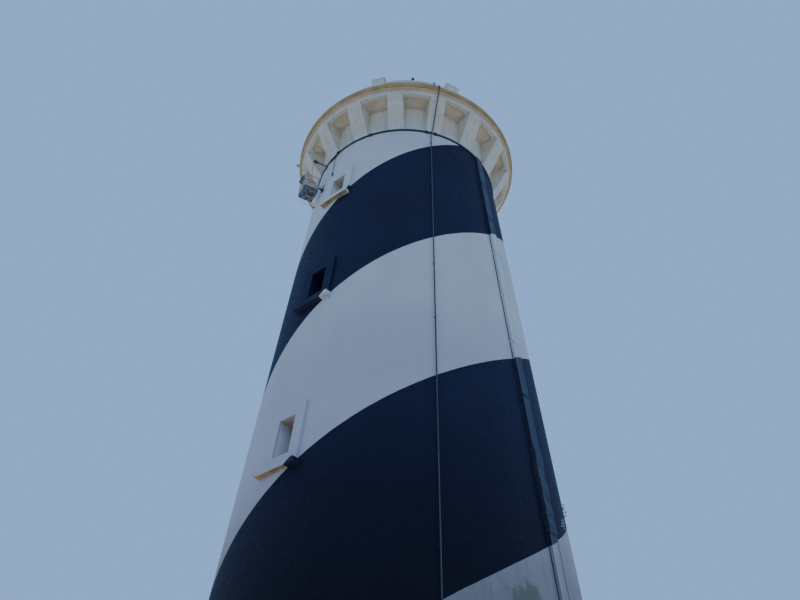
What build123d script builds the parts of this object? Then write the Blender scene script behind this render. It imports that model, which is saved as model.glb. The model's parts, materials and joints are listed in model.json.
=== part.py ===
"""A tall masonry lighthouse: a hollow tapered tower, a corbelled crown, a parapet terrace and a lantern.

The tower's axis is vertical, the ground is z = 0 and sizes are in millimetres. A bearing is the angle
round the tower from the front, which faces -Y, towards the right side, which faces +X.
"""
from build123d import *
from math import asin, atan2, cos, degrees, hypot, pi, radians, sin, sqrt, tan
import os

# Tower shaft
BASE_RADIUS = 6554.0
NECK_RADIUS = 4350.0
NECK_HEIGHT = 29270.0
BASE_WALL = 1900.0
NECK_WALL = 1050.0
COLUMN_HALF_ANGLE = 12.0
SECTORS_PER_SIDE = 3
FRONT_BEARING = 0.0
REAR_BEARING = 180.0

# Window openings. Each sill is set out down from the neck, but the lowest is set out from the ground
WINDOW_WIDTH = 720.0
LOWER_WINDOW_HEIGHT = 1390.0
MIDDLE_WINDOW_HEIGHT = 1270.0
TOP_WINDOW_HEIGHT = 1060.0
LOWEST_SILL_HEIGHT = 5200.0
LOWER_SILL_DROP = 16790.0
MIDDLE_SILL_DROP = 9810.0
TOP_SILL_DROP = 3550.0
REAR_LOWER_SILL_DROP = 20370.0
REAR_MIDDLE_SILL_DROP = 13370.0
REAR_TOP_SILL_DROP = 6670.0
REVEAL_DEPTH = 550.0
REBATE = 90.0
SURROUND_WIDTH = 400.0
SURROUND_PROUD = 35.0
APRON_HEIGHT = 370.0
SILL_LENGTH = 1700.0
TOP_SILL_LENGTH = 1450.0
SILL_THICKNESS = 180.0
SILL_PROUD = 220.0
SILL_BEDDING = 200.0
FRAME_DEPTH = 80.0
FRAME_FACE = 110.0
PANE_THICKNESS = 12.0

# Ground floor and doorway
FLOOR_THICKNESS = 150.0
DOOR_WIDTH = 1200.0
DOOR_HEIGHT = 2400.0
DOOR_LEAF_THICKNESS = 70.0

# Wall left above and below an opening in its tier
TIER_MARGIN = 200.0

# Crown of niches and corbels
NICHE_COUNT = 16
CORBEL_WIDTH = 730.0
CORBEL_REACH = 890.0
CORBEL_TOE = 45.0
CORBEL_SAG = 90.0
CROWN_HEIGHT = 1680.0
FASCIA_DROP = 100.0
FASCIA_WIDTH = 180.0
CORNICE_THICKNESS = 400.0
CORNICE_PROUD = 250.0
CORNICE_BAND = 250.0
FILLET_BAND = 80.0
FILLET_SETBACK = 70.0
CORNICE_SEGMENTS = 4
NICHE_CORNER_RADIUS = 260.0
NICHE_CORNER_REACH = 230.0

# Terrace, its parapet and pedestals
TERRACE_THICKNESS = 400.0
PARAPET_RADIUS = 4750.0
PARAPET_THICKNESS = 350.0
PARAPET_HEIGHT = 960.0
COPING_THICKNESS = 120.0
COPING_PROUD = 40.0
PEDESTAL_COUNT = 8
PEDESTAL_WIDTH = 620.0
PEDESTAL_DEPTH = 480.0
PEDESTAL_RISE = 390.0
PEDESTAL_CAP = 130.0
PEDESTAL_CAP_PROUD = 35.0

# Service room and lantern
ROOM_RADIUS = 2300.0
ROOM_WALL = 350.0
ROOM_HEIGHT = 2400.0
ROOM_SEGMENTS = 4
ROOM_DOOR_WIDTH = 800.0
ROOM_DOOR_HEIGHT = 1950.0
ROOM_DOOR_SETBACK = 70.0
LANTERN_FLOOR_THICKNESS = 200.0
LANTERN_FLOOR_PROUD = 250.0
LANTERN_FLOOR_LIP = 85.0
LANTERN_RADIUS = 1750.0
LANTERN_SIDES = 12
LANTERN_PLINTH_HEIGHT = 450.0
LANTERN_PLINTH_WALL = 100.0
GLAZING_HEIGHT = 1400.0
GLAZING_BAR = 60.0
GLAZING_RAIL = 90.0
ROOF_EAVES = 180.0
ROOF_RISE = 850.0
ROOF_BULGE = 0.17
ROOF_SHEET = 30.0
ROOF_GUTTER = 110.0
VENT_NECK_RADIUS = 160.0
VENT_NECK_HEIGHT = 160.0
VENT_BALL_RADIUS = 200.0
VENT_BALL_SEAT = 40.0
ROD_RADIUS = 20.0
ROD_LENGTH = 430.0

# Steel band round the neck, and its clamps
NECK_BAND_HEIGHT = 110.0
NECK_BAND_THICKNESS = 45.0
BAND_CLAMP_BEARINGS = (-6.3, 18.0, 52.0, 57.5)
BAND_CLAMP_WIDTH = 130.0
BAND_CLAMP_HEIGHT = 150.0
BAND_CLAMP_THICKNESS = 75.0
SLING_LUG_REACH = 145.0
SLING_LUG_SIZE = 56.0

# Duct up the right side
DUCT_BEARING = 90.0
DUCT_WIDTH = 380.0
DUCT_PROUD = 120.0

# Lightning conductor, from the ground to the parapet, and its clips
CONDUCTOR_RADIUS = 22.0
CONDUCTOR_STANDOFF = 85.0
CONDUCTOR_NECK_RISE = 21.0
CONDUCTOR_BEND = 70.0
CONDUCTOR_FOOT_HEIGHT = 20.0
CONDUCTOR_FOOT_BEARING = 49.7
CONDUCTOR_NECK_BEARING = 54.6
CONDUCTOR_CROWN_BEARING = 55.5
CONDUCTOR_CLIPS = 11
CONDUCTOR_CLIP_MARGIN = 900.0
CLIP_WIDTH = 50.0
CLIP_HEIGHT = 36.0

# Davit under the crown, its sheave and its rope
DAVIT_BEARING = -19.3
CRADLE_BEARING = -20.7
DAVIT_DROP = 150.0
DAVIT_REACH = 725.0
DAVIT_TUBE_RADIUS = 30.0
DAVIT_PLATE_SIZE = 200.0
DAVIT_PLATE_THICKNESS = 20.0
DAVIT_PLATE_RISE = 35.0
YOKE_WIDTH = 84.0
YOKE_CHEEK = 14.0
YOKE_HEIGHT = 90.0
YOKE_NOSE = 40.0
YOKE_BITE = 10.0
SHEAVE_RADIUS = 85.0
SHEAVE_PIN_RADIUS = 14.0
ROPE_RADIUS = 8.0

# Work cradle that hangs from the davit
CRADLE_TOP_DROP = 1520.0
CRADLE_HEIGHT = 950.0
CRADLE_WIDTH = 740.0
CRADLE_DEPTH = 660.0
CRADLE_BAR = 28.0
CRADLE_MID_RAIL = 500.0
CRADLE_EYE = 60.0
TOE_BOARD_HEIGHT = 120.0
TOE_BOARD_THICKNESS = 8.0
CRADLE_FLOOR_THICKNESS = 25.0
CRADLE_SLOTS = 7
CRADLE_SLOT_WIDTH = 24.0
BRACKET_HEIGHT = 250.0
BRACKET_BAR = 50.0
BRACKET_PAD = 160.0
BRACKET_PAD_THICKNESS = 60.0
BRACE_RADIUS = 12.0
BRACE_RISE = 350.0
BRACE_SPREAD = 80.0

# Lamps on the parapet and on the rim of the cornice
COPING_LAMP_BEARING = 43.0
RIM_LAMP_BEARING = -43.7
LAMP_WIDTH = 140.0
LAMP_HEIGHT = 160.0
LAMP_DEPTH = 110.0
LAMP_LEG = 50.0

# Hanging sling and slack cable, with their routes as (x, y, z) points
SLING_RADIUS = 14.0
SLING_ROUTE = [(-493, -4445, 29117), (-540, -4450, 28780), (-572, -4460, 28420),
               (-590, -4470, 28040), (-602, -4480, 27690)]
HOOK_SHANK_RADIUS = 28.0
HOOK_SHANK_LENGTH = 90.0
HOOK_RING_RADIUS = 48.0
HOOK_BAR_RADIUS = 13.0
HOOK_GAP = 0.9
SLACK_CABLE_RADIUS = 11.0
SLACK_CABLE_ROUTE = [(-2164, -4957, 26794), (-2136, -4882, 26640), (-2089, -4728, 26500),
                     (-2045, -4553, 26450), (-2010, -4342, 26500), (-2006, -4162, 26590)]
CABLE_CLIP_SIZE = 50.0
CABLE_CLIP_GAP = 7.0
ROUTE_BEND_SHARE = 0.45

# Fits
SEAT_GAP = 0.3

TAPER = (BASE_RADIUS - NECK_RADIUS) / NECK_HEIGHT
BASE_INNER = BASE_RADIUS - BASE_WALL
NECK_INNER = NECK_RADIUS - NECK_WALL
INNER_TAPER = (BASE_INNER - NECK_INNER) / NECK_HEIGHT
SOFFIT_HEIGHT = NECK_HEIGHT + CROWN_HEIGHT
DECK_HEIGHT = SOFFIT_HEIGHT + CORNICE_THICKNESS
TERRACE_HEIGHT = DECK_HEIGHT + TERRACE_THICKNESS
DOOR_TIER_TOP = FLOOR_THICKNESS + DOOR_HEIGHT + SURROUND_WIDTH + TIER_MARGIN
PARAPET_TOP = TERRACE_HEIGHT + PARAPET_HEIGHT
ROOM_TOP = TERRACE_HEIGHT + ROOM_HEIGHT
LANTERN_FLOOR_TOP = ROOM_TOP + LANTERN_FLOOR_THICKNESS
GLAZING_FOOT = LANTERN_FLOOR_TOP + LANTERN_PLINTH_HEIGHT
GLAZING_TOP = GLAZING_FOOT + GLAZING_HEIGHT
ROOF_TOP = GLAZING_TOP + ROOF_RISE


def outer_radius(height):
    """Outer radius of the shaft at a height."""
    return BASE_RADIUS - TAPER * min(height, NECK_HEIGHT)


def inner_radius(height):
    """Inner radius of the shaft at a height."""
    return BASE_INNER - INNER_TAPER * min(height, NECK_HEIGHT)


def at_bearing(shape, bearing):
    """Carry a shape that faces the front round to a bearing."""
    return Rot(0, 0, bearing) * shape


def turned(outline, start, end):
    """Turn an outline of (radius, height) points about the axis, from one bearing to another."""
    face = make_face(Polyline([(radius, 0, height) for radius, height in outline], close=True))
    return Rot(0, 0, start - 90) * revolve(face, axis=Axis.Z, revolution_arc=end - start)


def radial_prism(outline, width, bearing, aside=0.0):
    """Extrude an outline of (radius, height) points to a width, centred on a bearing or set aside of it."""
    face = make_face(Polyline([(aside, -radius, height) for radius, height in outline], close=True))
    return at_bearing(extrude(face, amount=width / 2, dir=(1, 0, 0), both=True), bearing)


def radial_block(width, near, far, low, high, bearing, aside=0.0):
    """A block between two radii and two heights, centred on a bearing or set aside of it."""
    return radial_prism([(near, low), (far, low), (far, high), (near, high)], width, bearing, aside)


def shaft_core():
    """The space inside the shaft's face, with a seat gap, to fit pieces against the wall."""
    return turned([(0, 0), (BASE_RADIUS + SEAT_GAP, 0), (NECK_RADIUS + SEAT_GAP, NECK_HEIGHT),
                   (0, NECK_HEIGHT)], 0, 360)


def round_bar(start, end, radius):
    """A round bar from one (x, y, z) point to another."""
    axis = Line(start, end)
    return sweep(Plane(origin=start, z_dir=axis % 0) * Circle(radius), path=axis)


def point_at(bearing, radius, height, aside=0.0):
    """The (x, y, z) point at a radius and height, set aside of a bearing."""
    return tuple(at_bearing(Pos(aside, -radius, height), bearing).position)


def route_tube(points, radius):
    """A tube along a route of points, with an arc at each bend as large as its two runs allow."""
    runs = [Vector(*end) - Vector(*start) for start, end in zip(points, points[1:])]
    bends = []
    for before, after in zip(runs, runs[1:]):
        half_turn = radians(before.get_angle(after)) / 2
        bends.append(ROUTE_BEND_SHARE * min(before.length, after.length) / tan(half_turn))
    path = FilletPolyline(points, radius=bends)
    tube = sweep(Plane(origin=points[0], z_dir=path % 0) * Circle(radius), path=path)
    print("bends", [round(bend) for bend in bends], "length", round(path.length),
          "volume ratio", round(tube.volume / (pi * radius ** 2 * path.length), 4))
    return tube


def wall_outline(low, high):
    """Section of the shaft wall between two heights, with its break at the neck."""
    levels = [low] + [NECK_HEIGHT for level in (low,) if low < NECK_HEIGHT < high] + [high]
    outer = [(outer_radius(level), level) for level in levels]
    inner = [(inner_radius(level), level) for level in reversed(levels)]
    return outer + inner


def window_column(bearing, low, high):
    """The narrow stretch of wall round a bearing that carries the openings, between two heights."""
    return turned(wall_outline(low, high), bearing - COLUMN_HALF_ANGLE, bearing + COLUMN_HALF_ANGLE)


def opening_cut(bearing, width, foot, height):
    """The space of an opening: a reveal outside, and a wider embrasure behind the rebate."""
    frame_radius = outer_radius(foot + height / 2) - REVEAL_DEPTH
    beyond = outer_radius(foot) + SILL_PROUD + SURROUND_PROUD
    within = inner_radius(foot + height) - REVEAL_DEPTH
    reveal = radial_block(width, frame_radius, beyond, foot, foot + height, bearing)
    embrasure = radial_block(
        width + 2 * REBATE, within, frame_radius, foot, foot + height + REBATE, bearing)
    return reveal + embrasure


def surround(bearing, width, low, head):
    """The flat raised border round an opening, from a level to a border's width above the opening's head."""
    high = head + SURROUND_WIDTH
    face = [(outer_radius(level) + SURROUND_PROUD, level) for level in (low, high)]
    back = [(outer_radius(level) - SILL_BEDDING, level) for level in (high, low)]
    return radial_prism(face + back, width + 2 * SURROUND_WIDTH, bearing)


def window_sill(bearing, foot, length):
    """The projecting sill under a window's apron, bedded in the wall."""
    top = foot - APRON_HEIGHT
    face = outer_radius(top)
    return radial_block(
        length, face - SILL_BEDDING, face + SILL_PROUD, top - SILL_THICKNESS, top, bearing)


def tier_levels(foot, height):
    """Lowest and highest level of the tier that holds a window."""
    low = foot - APRON_HEIGHT - SILL_THICKNESS - TIER_MARGIN
    return low, foot + height + SURROUND_WIDTH + TIER_MARGIN


def window_tier(bearing, foot, height, sill_length):
    """A tier of the window column with one window cut through it."""
    wall = window_column(bearing, *tier_levels(foot, height))
    wall += surround(bearing, WINDOW_WIDTH, foot - APRON_HEIGHT, foot + height)
    return wall - opening_cut(bearing, WINDOW_WIDTH, foot, height) - window_sill(bearing, foot, sill_length)


def door_tier(bearing):
    """The lowest tier of the front column, with the doorway cut through it."""
    wall = window_column(bearing, 0.0, DOOR_TIER_TOP)
    wall += surround(bearing, DOOR_WIDTH, FLOOR_THICKNESS, FLOOR_THICKNESS + DOOR_HEIGHT)
    return wall - opening_cut(bearing, DOOR_WIDTH, FLOOR_THICKNESS, DOOR_HEIGHT)


def column_piers(bearing, start, windows):
    """The plain wall below, between and above the tiers of a window column."""
    levels = [start]
    for _, foot, height, _ in windows:
        levels += tier_levels(foot, height)
    levels.append(SOFFIT_HEIGHT)
    return [window_column(bearing, low, high) for low, high in zip(levels[::2], levels[1::2])]


def opening_frame(bearing, width, foot, height):
    """The frame that stands in the embrasure, against the rebate."""
    front = outer_radius(foot + height / 2) - REVEAL_DEPTH
    back = front - FRAME_DEPTH
    full = width + 2 * REBATE - 2 * SEAT_GAP
    body = radial_block(full, back, front, foot, foot + height + REBATE - SEAT_GAP, bearing)
    clear_width = width + 2 * REBATE - 2 * FRAME_FACE
    clear_head = foot + height + REBATE - FRAME_FACE
    light = radial_block(clear_width, back, front, foot + FRAME_FACE, clear_head, bearing)
    return body - light


def opening_infill(bearing, width, foot, height, thickness):
    """The pane or leaf that fills a frame, in the middle of its depth."""
    middle = outer_radius(foot + height / 2) - REVEAL_DEPTH - FRAME_DEPTH / 2
    full = width + 2 * REBATE - 2 * FRAME_FACE - 2 * SEAT_GAP
    low = foot + FRAME_FACE + SEAT_GAP
    high = foot + height + REBATE - FRAME_FACE - SEAT_GAP
    return radial_block(full, middle - thickness / 2, middle + thickness / 2, low, high, bearing)


def front_windows():
    """Bearing, sill height, opening height and sill length of each front window, from the lowest up."""
    return [
        (FRONT_BEARING, LOWEST_SILL_HEIGHT, LOWER_WINDOW_HEIGHT, SILL_LENGTH),
        (FRONT_BEARING, NECK_HEIGHT - LOWER_SILL_DROP, LOWER_WINDOW_HEIGHT, SILL_LENGTH),
        (FRONT_BEARING, NECK_HEIGHT - MIDDLE_SILL_DROP, MIDDLE_WINDOW_HEIGHT, SILL_LENGTH),
        (FRONT_BEARING, NECK_HEIGHT - TOP_SILL_DROP, TOP_WINDOW_HEIGHT, TOP_SILL_LENGTH)]


def rear_windows():
    """Bearing, sill height, opening height and sill length of each rear window, from the lowest up."""
    return [(REAR_BEARING, NECK_HEIGHT - drop, MIDDLE_WINDOW_HEIGHT, SILL_LENGTH)
            for drop in (REAR_LOWER_SILL_DROP, REAR_MIDDLE_SILL_DROP, REAR_TOP_SILL_DROP)]


def plain_sectors():
    """The undivided sectors of the wall on either side, by name."""
    span = (180.0 - 2 * COLUMN_HALF_ANGLE) / SECTORS_PER_SIDE
    names = ("front_right", "right", "rear_right", "rear_left", "left", "front_left")
    sectors = {}
    for index, name in enumerate(names):
        side, place = divmod(index, SECTORS_PER_SIDE)
        start = side * 180.0 + COLUMN_HALF_ANGLE + place * span
        sectors["wall_" + name] = turned(wall_outline(0.0, SOFFIT_HEIGHT), start, start + span)
    return sectors


def make_shaft():
    """The sectors, tiers and piers of the shaft wall, its floor, windows and door."""
    nodes = plain_sectors()
    front = front_windows()
    rear = rear_windows()
    nodes["wall_front_1"] = door_tier(FRONT_BEARING)
    for index, window in enumerate(front):
        nodes[f"wall_front_{index + 2}"] = window_tier(*window)
    for index, window in enumerate(rear):
        nodes[f"wall_rear_{index + 1}"] = window_tier(*window)
    nodes["wall_piers"] = Compound(
        column_piers(FRONT_BEARING, DOOR_TIER_TOP, front) + column_piers(REAR_BEARING, 0.0, rear))
    nodes["ground_floor"] = turned(
        [(0, 0), (inner_radius(0) - SEAT_GAP, 0),
         (inner_radius(FLOOR_THICKNESS) - SEAT_GAP, FLOOR_THICKNESS), (0, FLOOR_THICKNESS)], 0, 360)
    sills = []
    frames = []
    panes = []
    for bearing, foot, height, sill_length in front + rear:
        sills.append(window_sill(bearing, foot, sill_length))
        frames.append(opening_frame(bearing, WINDOW_WIDTH, foot, height))
        panes.append(opening_infill(bearing, WINDOW_WIDTH, foot, height, PANE_THICKNESS))
    nodes["window_sills"] = Compound(sills)
    nodes["window_frames"] = Compound(frames)
    nodes["window_glass"] = Compound(panes)
    door = (FRONT_BEARING, DOOR_WIDTH, FLOOR_THICKNESS, DOOR_HEIGHT)
    nodes["door_frame"] = opening_frame(*door)
    nodes["door_leaf"] = opening_infill(*door, DOOR_LEAF_THICKNESS)
    return nodes


def niche_corner(side):
    """The rounded corner between a corbel's cheek and the fascia, before it is fitted to the fascia."""
    inner_face = NECK_RADIUS + CORBEL_REACH - FASCIA_WIDTH
    cheek = CORBEL_WIDTH / 2
    round_aside = cheek + NICHE_CORNER_RADIUS
    round_out = sqrt((inner_face - NICHE_CORNER_RADIUS) ** 2 - round_aside ** 2)
    low = SOFFIT_HEIGHT - FASCIA_DROP
    block = radial_block(NICHE_CORNER_REACH, round_out, inner_face, low, SOFFIT_HEIGHT, 0.0,
                         side * (cheek + NICHE_CORNER_REACH / 2))
    return block - Pos(side * round_aside, -round_out, low) * Cylinder(
        NICHE_CORNER_RADIUS, FASCIA_DROP, align=(Align.CENTER, Align.CENTER, Align.MIN))


def corbel(bearing):
    """A corbel with parallel cheeks, a curved face and rounded corners to its niches, under the cornice."""
    back = NECK_RADIUS - CORBEL_TOE
    toe = NECK_RADIUS + CORBEL_TOE
    nose = NECK_RADIUS + CORBEL_REACH
    fascia_low = SOFFIT_HEIGHT - FASCIA_DROP
    middle = ((toe + nose) / 2 + CORBEL_SAG / 2, (NECK_HEIGHT + fascia_low) / 2 + CORBEL_SAG / 2)
    hollow = ThreePointArc((0, -nose, fascia_low), (0, -middle[0], middle[1]), (0, -toe, NECK_HEIGHT))
    edge = Polyline([(0, -toe, NECK_HEIGHT), (0, -back, NECK_HEIGHT), (0, -back, SOFFIT_HEIGHT),
                     (0, -nose, SOFFIT_HEIGHT), (0, -nose, fascia_low)])
    block = extrude(make_face(hollow + edge), amount=CORBEL_WIDTH / 2, dir=(1, 0, 0), both=True)
    shaft = Pos(0, 0, NECK_HEIGHT) * Cylinder(
        NECK_RADIUS + SEAT_GAP, CROWN_HEIGHT, align=(Align.CENTER, Align.CENTER, Align.MIN))
    fascia = turned(
        [(nose - FASCIA_WIDTH - SEAT_GAP, fascia_low), (nose + FASCIA_WIDTH, fascia_low),
         (nose + FASCIA_WIDTH, SOFFIT_HEIGHT), (nose - FASCIA_WIDTH - SEAT_GAP, SOFFIT_HEIGHT)], 0, 360)
    block += niche_corner(-1) + niche_corner(1)
    return at_bearing(block - shaft - fascia, bearing)


def cornice_outline():
    """Section of the cornice slab: fascia, groove, fillet and top band."""
    nose = NECK_RADIUS + CORBEL_REACH
    fascia_back = nose - FASCIA_WIDTH
    rim = nose + CORNICE_PROUD
    band_low = DECK_HEIGHT - CORNICE_BAND
    fillet_low = band_low - FILLET_BAND
    return [(NECK_INNER, SOFFIT_HEIGHT), (fascia_back, SOFFIT_HEIGHT),
            (fascia_back, SOFFIT_HEIGHT - FASCIA_DROP), (nose, SOFFIT_HEIGHT - FASCIA_DROP),
            (nose + FASCIA_DROP, fillet_low), (rim - FILLET_SETBACK, fillet_low),
            (rim - FILLET_SETBACK, band_low), (rim, band_low), (rim, DECK_HEIGHT),
            (NECK_INNER, DECK_HEIGHT)]


def pedestal(bearing):
    """A parapet pedestal with its cap."""
    middle = PARAPET_RADIUS - PARAPET_THICKNESS / 2
    half = PEDESTAL_DEPTH / 2
    cap_low = PARAPET_TOP + PEDESTAL_RISE - PEDESTAL_CAP
    shaft = radial_block(PEDESTAL_WIDTH, middle - half, middle + half, TERRACE_HEIGHT, cap_low, bearing)
    cap = radial_block(
        PEDESTAL_WIDTH + 2 * PEDESTAL_CAP_PROUD, middle - half - PEDESTAL_CAP_PROUD,
        middle + half + PEDESTAL_CAP_PROUD, cap_low, cap_low + PEDESTAL_CAP, bearing)
    return shaft + cap


def parapet_panel(bearing):
    """The curved parapet wall between two pedestals, with its coping."""
    inner = PARAPET_RADIUS - PARAPET_THICKNESS
    coping_low = PARAPET_TOP - COPING_THICKNESS
    outline = [(inner, TERRACE_HEIGHT), (PARAPET_RADIUS, TERRACE_HEIGHT), (PARAPET_RADIUS, coping_low),
               (PARAPET_RADIUS + COPING_PROUD, coping_low), (PARAPET_RADIUS + COPING_PROUD, PARAPET_TOP),
               (inner - COPING_PROUD, PARAPET_TOP), (inner - COPING_PROUD, coping_low), (inner, coping_low)]
    half = 180.0 / PEDESTAL_COUNT
    panel = turned(outline, bearing - half, bearing + half)
    for side in (-half, half):
        panel -= radial_block(
            PEDESTAL_WIDTH + 2 * SEAT_GAP, inner - PEDESTAL_DEPTH, PARAPET_RADIUS + PEDESTAL_DEPTH,
            TERRACE_HEIGHT, PARAPET_TOP, bearing + side)
    return panel


def make_crown():
    """Corbels, cornice, terrace, parapet and pedestals."""
    nodes = {}
    bay = 360.0 / NICHE_COUNT
    nodes["corbels"] = Compound([corbel((index + 0.5) * bay) for index in range(NICHE_COUNT)])
    step = 360.0 / CORNICE_SEGMENTS
    for index, name in enumerate(("front", "right", "rear", "left")):
        middle = index * step
        nodes["cornice_" + name] = turned(cornice_outline(), middle - step / 2, middle + step / 2)
    nodes["terrace_floor"] = turned(
        [(0, DECK_HEIGHT), (PARAPET_RADIUS, DECK_HEIGHT), (PARAPET_RADIUS, TERRACE_HEIGHT),
         (0, TERRACE_HEIGHT)], 0, 360)
    spacing = 360.0 / PEDESTAL_COUNT
    nodes["parapet_panels"] = Compound([parapet_panel(index * spacing) for index in range(PEDESTAL_COUNT)])
    nodes["parapet_pedestals"] = Compound(
        [pedestal((index + 0.5) * spacing) for index in range(PEDESTAL_COUNT)])
    return nodes


def make_service_room():
    """The masonry room on the terrace, its door and the floor of the lantern."""
    nodes = {}
    inner = ROOM_RADIUS - ROOM_WALL
    outline = [(inner, TERRACE_HEIGHT), (ROOM_RADIUS, TERRACE_HEIGHT), (ROOM_RADIUS, ROOM_TOP),
               (inner, ROOM_TOP)]
    step = 360.0 / ROOM_SEGMENTS
    for index, name in enumerate(("front", "right", "rear", "left")):
        middle = index * step
        nodes["room_wall_" + name] = turned(outline, middle - step / 2, middle + step / 2)
    door_high = TERRACE_HEIGHT + ROOM_DOOR_HEIGHT
    doorway = radial_block(ROOM_DOOR_WIDTH, inner - ROOM_WALL, ROOM_RADIUS + ROOM_WALL,
                           TERRACE_HEIGHT, door_high, REAR_BEARING)
    nodes["room_wall_rear"] -= doorway
    door_face = ROOM_RADIUS * cos(asin(ROOM_DOOR_WIDTH / 2 / ROOM_RADIUS)) - ROOM_DOOR_SETBACK
    nodes["room_door"] = radial_block(
        ROOM_DOOR_WIDTH - 2 * SEAT_GAP, door_face - DOOR_LEAF_THICKNESS, door_face,
        TERRACE_HEIGHT + SEAT_GAP, door_high - SEAT_GAP, REAR_BEARING)
    lip = ROOM_RADIUS + LANTERN_FLOOR_PROUD
    nodes["lantern_floor"] = turned(
        [(0, ROOM_TOP), (ROOM_RADIUS, ROOM_TOP), (lip, ROOM_TOP + LANTERN_FLOOR_LIP),
         (lip, LANTERN_FLOOR_TOP), (0, LANTERN_FLOOR_TOP)], 0, 360)
    return nodes


def lantern_polygon(radius, low, thickness):
    """A flat-sided plate of the lantern's outline, with a corner at every post."""
    return Pos(0, 0, low) * extrude(RegularPolygon(radius, LANTERN_SIDES), amount=thickness)


def lantern_ring(low, thickness):
    """A flat-sided ring as thick as the lantern's plinth wall."""
    return (lantern_polygon(LANTERN_RADIUS, low, thickness)
            - lantern_polygon(LANTERN_RADIUS - LANTERN_PLINTH_WALL, low, thickness))


def make_lantern():
    """Plinth, glazing, roof, ventilator and rod of the lantern."""
    nodes = {}
    glass_low = GLAZING_FOOT + GLAZING_RAIL
    glass_high = GLAZING_TOP - GLAZING_RAIL
    nodes["lantern_plinth"] = lantern_ring(LANTERN_FLOOR_TOP, LANTERN_PLINTH_HEIGHT + GLAZING_RAIL)
    nodes["lantern_head"] = lantern_ring(glass_high, GLAZING_RAIL)
    corner = 360.0 / LANTERN_SIDES
    post_middle = LANTERN_RADIUS - LANTERN_PLINTH_WALL / 2
    near = post_middle - GLAZING_BAR / 2
    far = post_middle + GLAZING_BAR / 2
    nodes["lantern_posts"] = Compound([
        radial_block(GLAZING_BAR, near, far, glass_low, glass_high, index * corner)
        for index in range(LANTERN_SIDES)])
    side_middle = post_middle * cos(radians(corner / 2))
    side_width = 2 * post_middle * sin(radians(corner / 2))
    skew = radians(corner / 2)
    post_reach = (GLAZING_BAR / 2 + PANE_THICKNESS / 2 * sin(skew)) / cos(skew)
    pane_width = side_width - 2 * post_reach - 2 * SEAT_GAP
    nodes["lantern_glass"] = Compound([
        radial_block(pane_width, side_middle - PANE_THICKNESS / 2, side_middle + PANE_THICKNESS / 2,
                     glass_low, glass_high, (index + 0.5) * corner) for index in range(LANTERN_SIDES)])
    nodes["lantern_roof"] = make_roof()
    ball_middle = ROOF_TOP + VENT_NECK_HEIGHT + VENT_BALL_RADIUS - VENT_BALL_SEAT
    neck = Pos(0, 0, ROOF_TOP) * Cylinder(
        VENT_NECK_RADIUS, ball_middle - ROOF_TOP, align=(Align.CENTER, Align.CENTER, Align.MIN))
    nodes["roof_ventilator"] = neck + Pos(0, 0, ball_middle) * Sphere(VENT_BALL_RADIUS)
    rod_foot = ball_middle + VENT_BALL_RADIUS
    nodes["lightning_rod"] = Pos(0, 0, rod_foot) * Cylinder(
        ROD_RADIUS, ROD_LENGTH, align=(Align.CENTER, Align.CENTER, Align.MIN))
    return nodes


def roof_arc(sheet):
    """The dome's curve at a depth into its sheet, as its foot, a point half way and its top."""
    eaves = LANTERN_RADIUS + ROOF_EAVES
    shoulder = GLAZING_TOP + ROOF_GUTTER
    foot = Vector(eaves - sheet, 0, shoulder)
    top = Vector(VENT_NECK_RADIUS, 0, ROOF_TOP - sheet)
    chord = top - foot
    outward = Vector(chord.Z, 0, -chord.X)
    return foot, (foot + top) / 2 + outward * ROOF_BULGE, top


def make_roof():
    """The domed sheet roof, with a gutter ring at its eaves."""
    foot, middle, top = roof_arc(0.0)
    under_foot, under_middle, under_top = roof_arc(ROOF_SHEET)
    outer = ThreePointArc(foot, middle, top)
    inner = ThreePointArc(under_top, under_middle, under_foot)
    cap = Polyline([top, (0, 0, ROOF_TOP), (0, 0, ROOF_TOP - ROOF_SHEET), under_top])
    seat = LANTERN_RADIUS - LANTERN_PLINTH_WALL
    gutter = Polyline([under_foot, (seat, 0, under_foot.Z), (seat, 0, GLAZING_TOP),
                       (foot.X, 0, GLAZING_TOP), foot])
    return revolve(make_face(outer + cap + inner + gutter), axis=Axis.Z, revolution_arc=360)


def neck_band():
    """The steel band round the neck with its clamps, one of which has a lug for the sling."""
    band_low = NECK_HEIGHT - NECK_BAND_HEIGHT
    face = outer_radius(band_low)
    top = NECK_HEIGHT - SEAT_GAP
    band = turned([(NECK_RADIUS - NECK_BAND_THICKNESS, band_low), (face + NECK_BAND_THICKNESS, band_low),
                   (NECK_RADIUS + NECK_BAND_THICKNESS, top), (NECK_RADIUS - NECK_BAND_THICKNESS, top)],
                  0, 360)
    clamp_low = top - BAND_CLAMP_HEIGHT
    for bearing in BAND_CLAMP_BEARINGS:
        band += radial_block(BAND_CLAMP_WIDTH, NECK_RADIUS - NECK_BAND_THICKNESS,
                             NECK_RADIUS + BAND_CLAMP_THICKNESS, clamp_low, top, bearing)
    band += radial_block(SLING_LUG_SIZE, NECK_RADIUS, NECK_RADIUS + SLING_LUG_REACH,
                         clamp_low, clamp_low + SLING_LUG_SIZE, BAND_CLAMP_BEARINGS[0])
    return band - shaft_core()


def duct():
    """The duct that climbs the right side of the shaft to the neck band."""
    duct_top = NECK_HEIGHT - NECK_BAND_HEIGHT - SEAT_GAP
    strip = radial_prism(
        [(BASE_RADIUS - DUCT_PROUD, 0), (BASE_RADIUS + DUCT_PROUD, 0),
         (outer_radius(duct_top) + DUCT_PROUD, duct_top), (outer_radius(duct_top) - DUCT_PROUD, duct_top)],
        DUCT_WIDTH, DUCT_BEARING)
    return strip - shaft_core()


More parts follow.
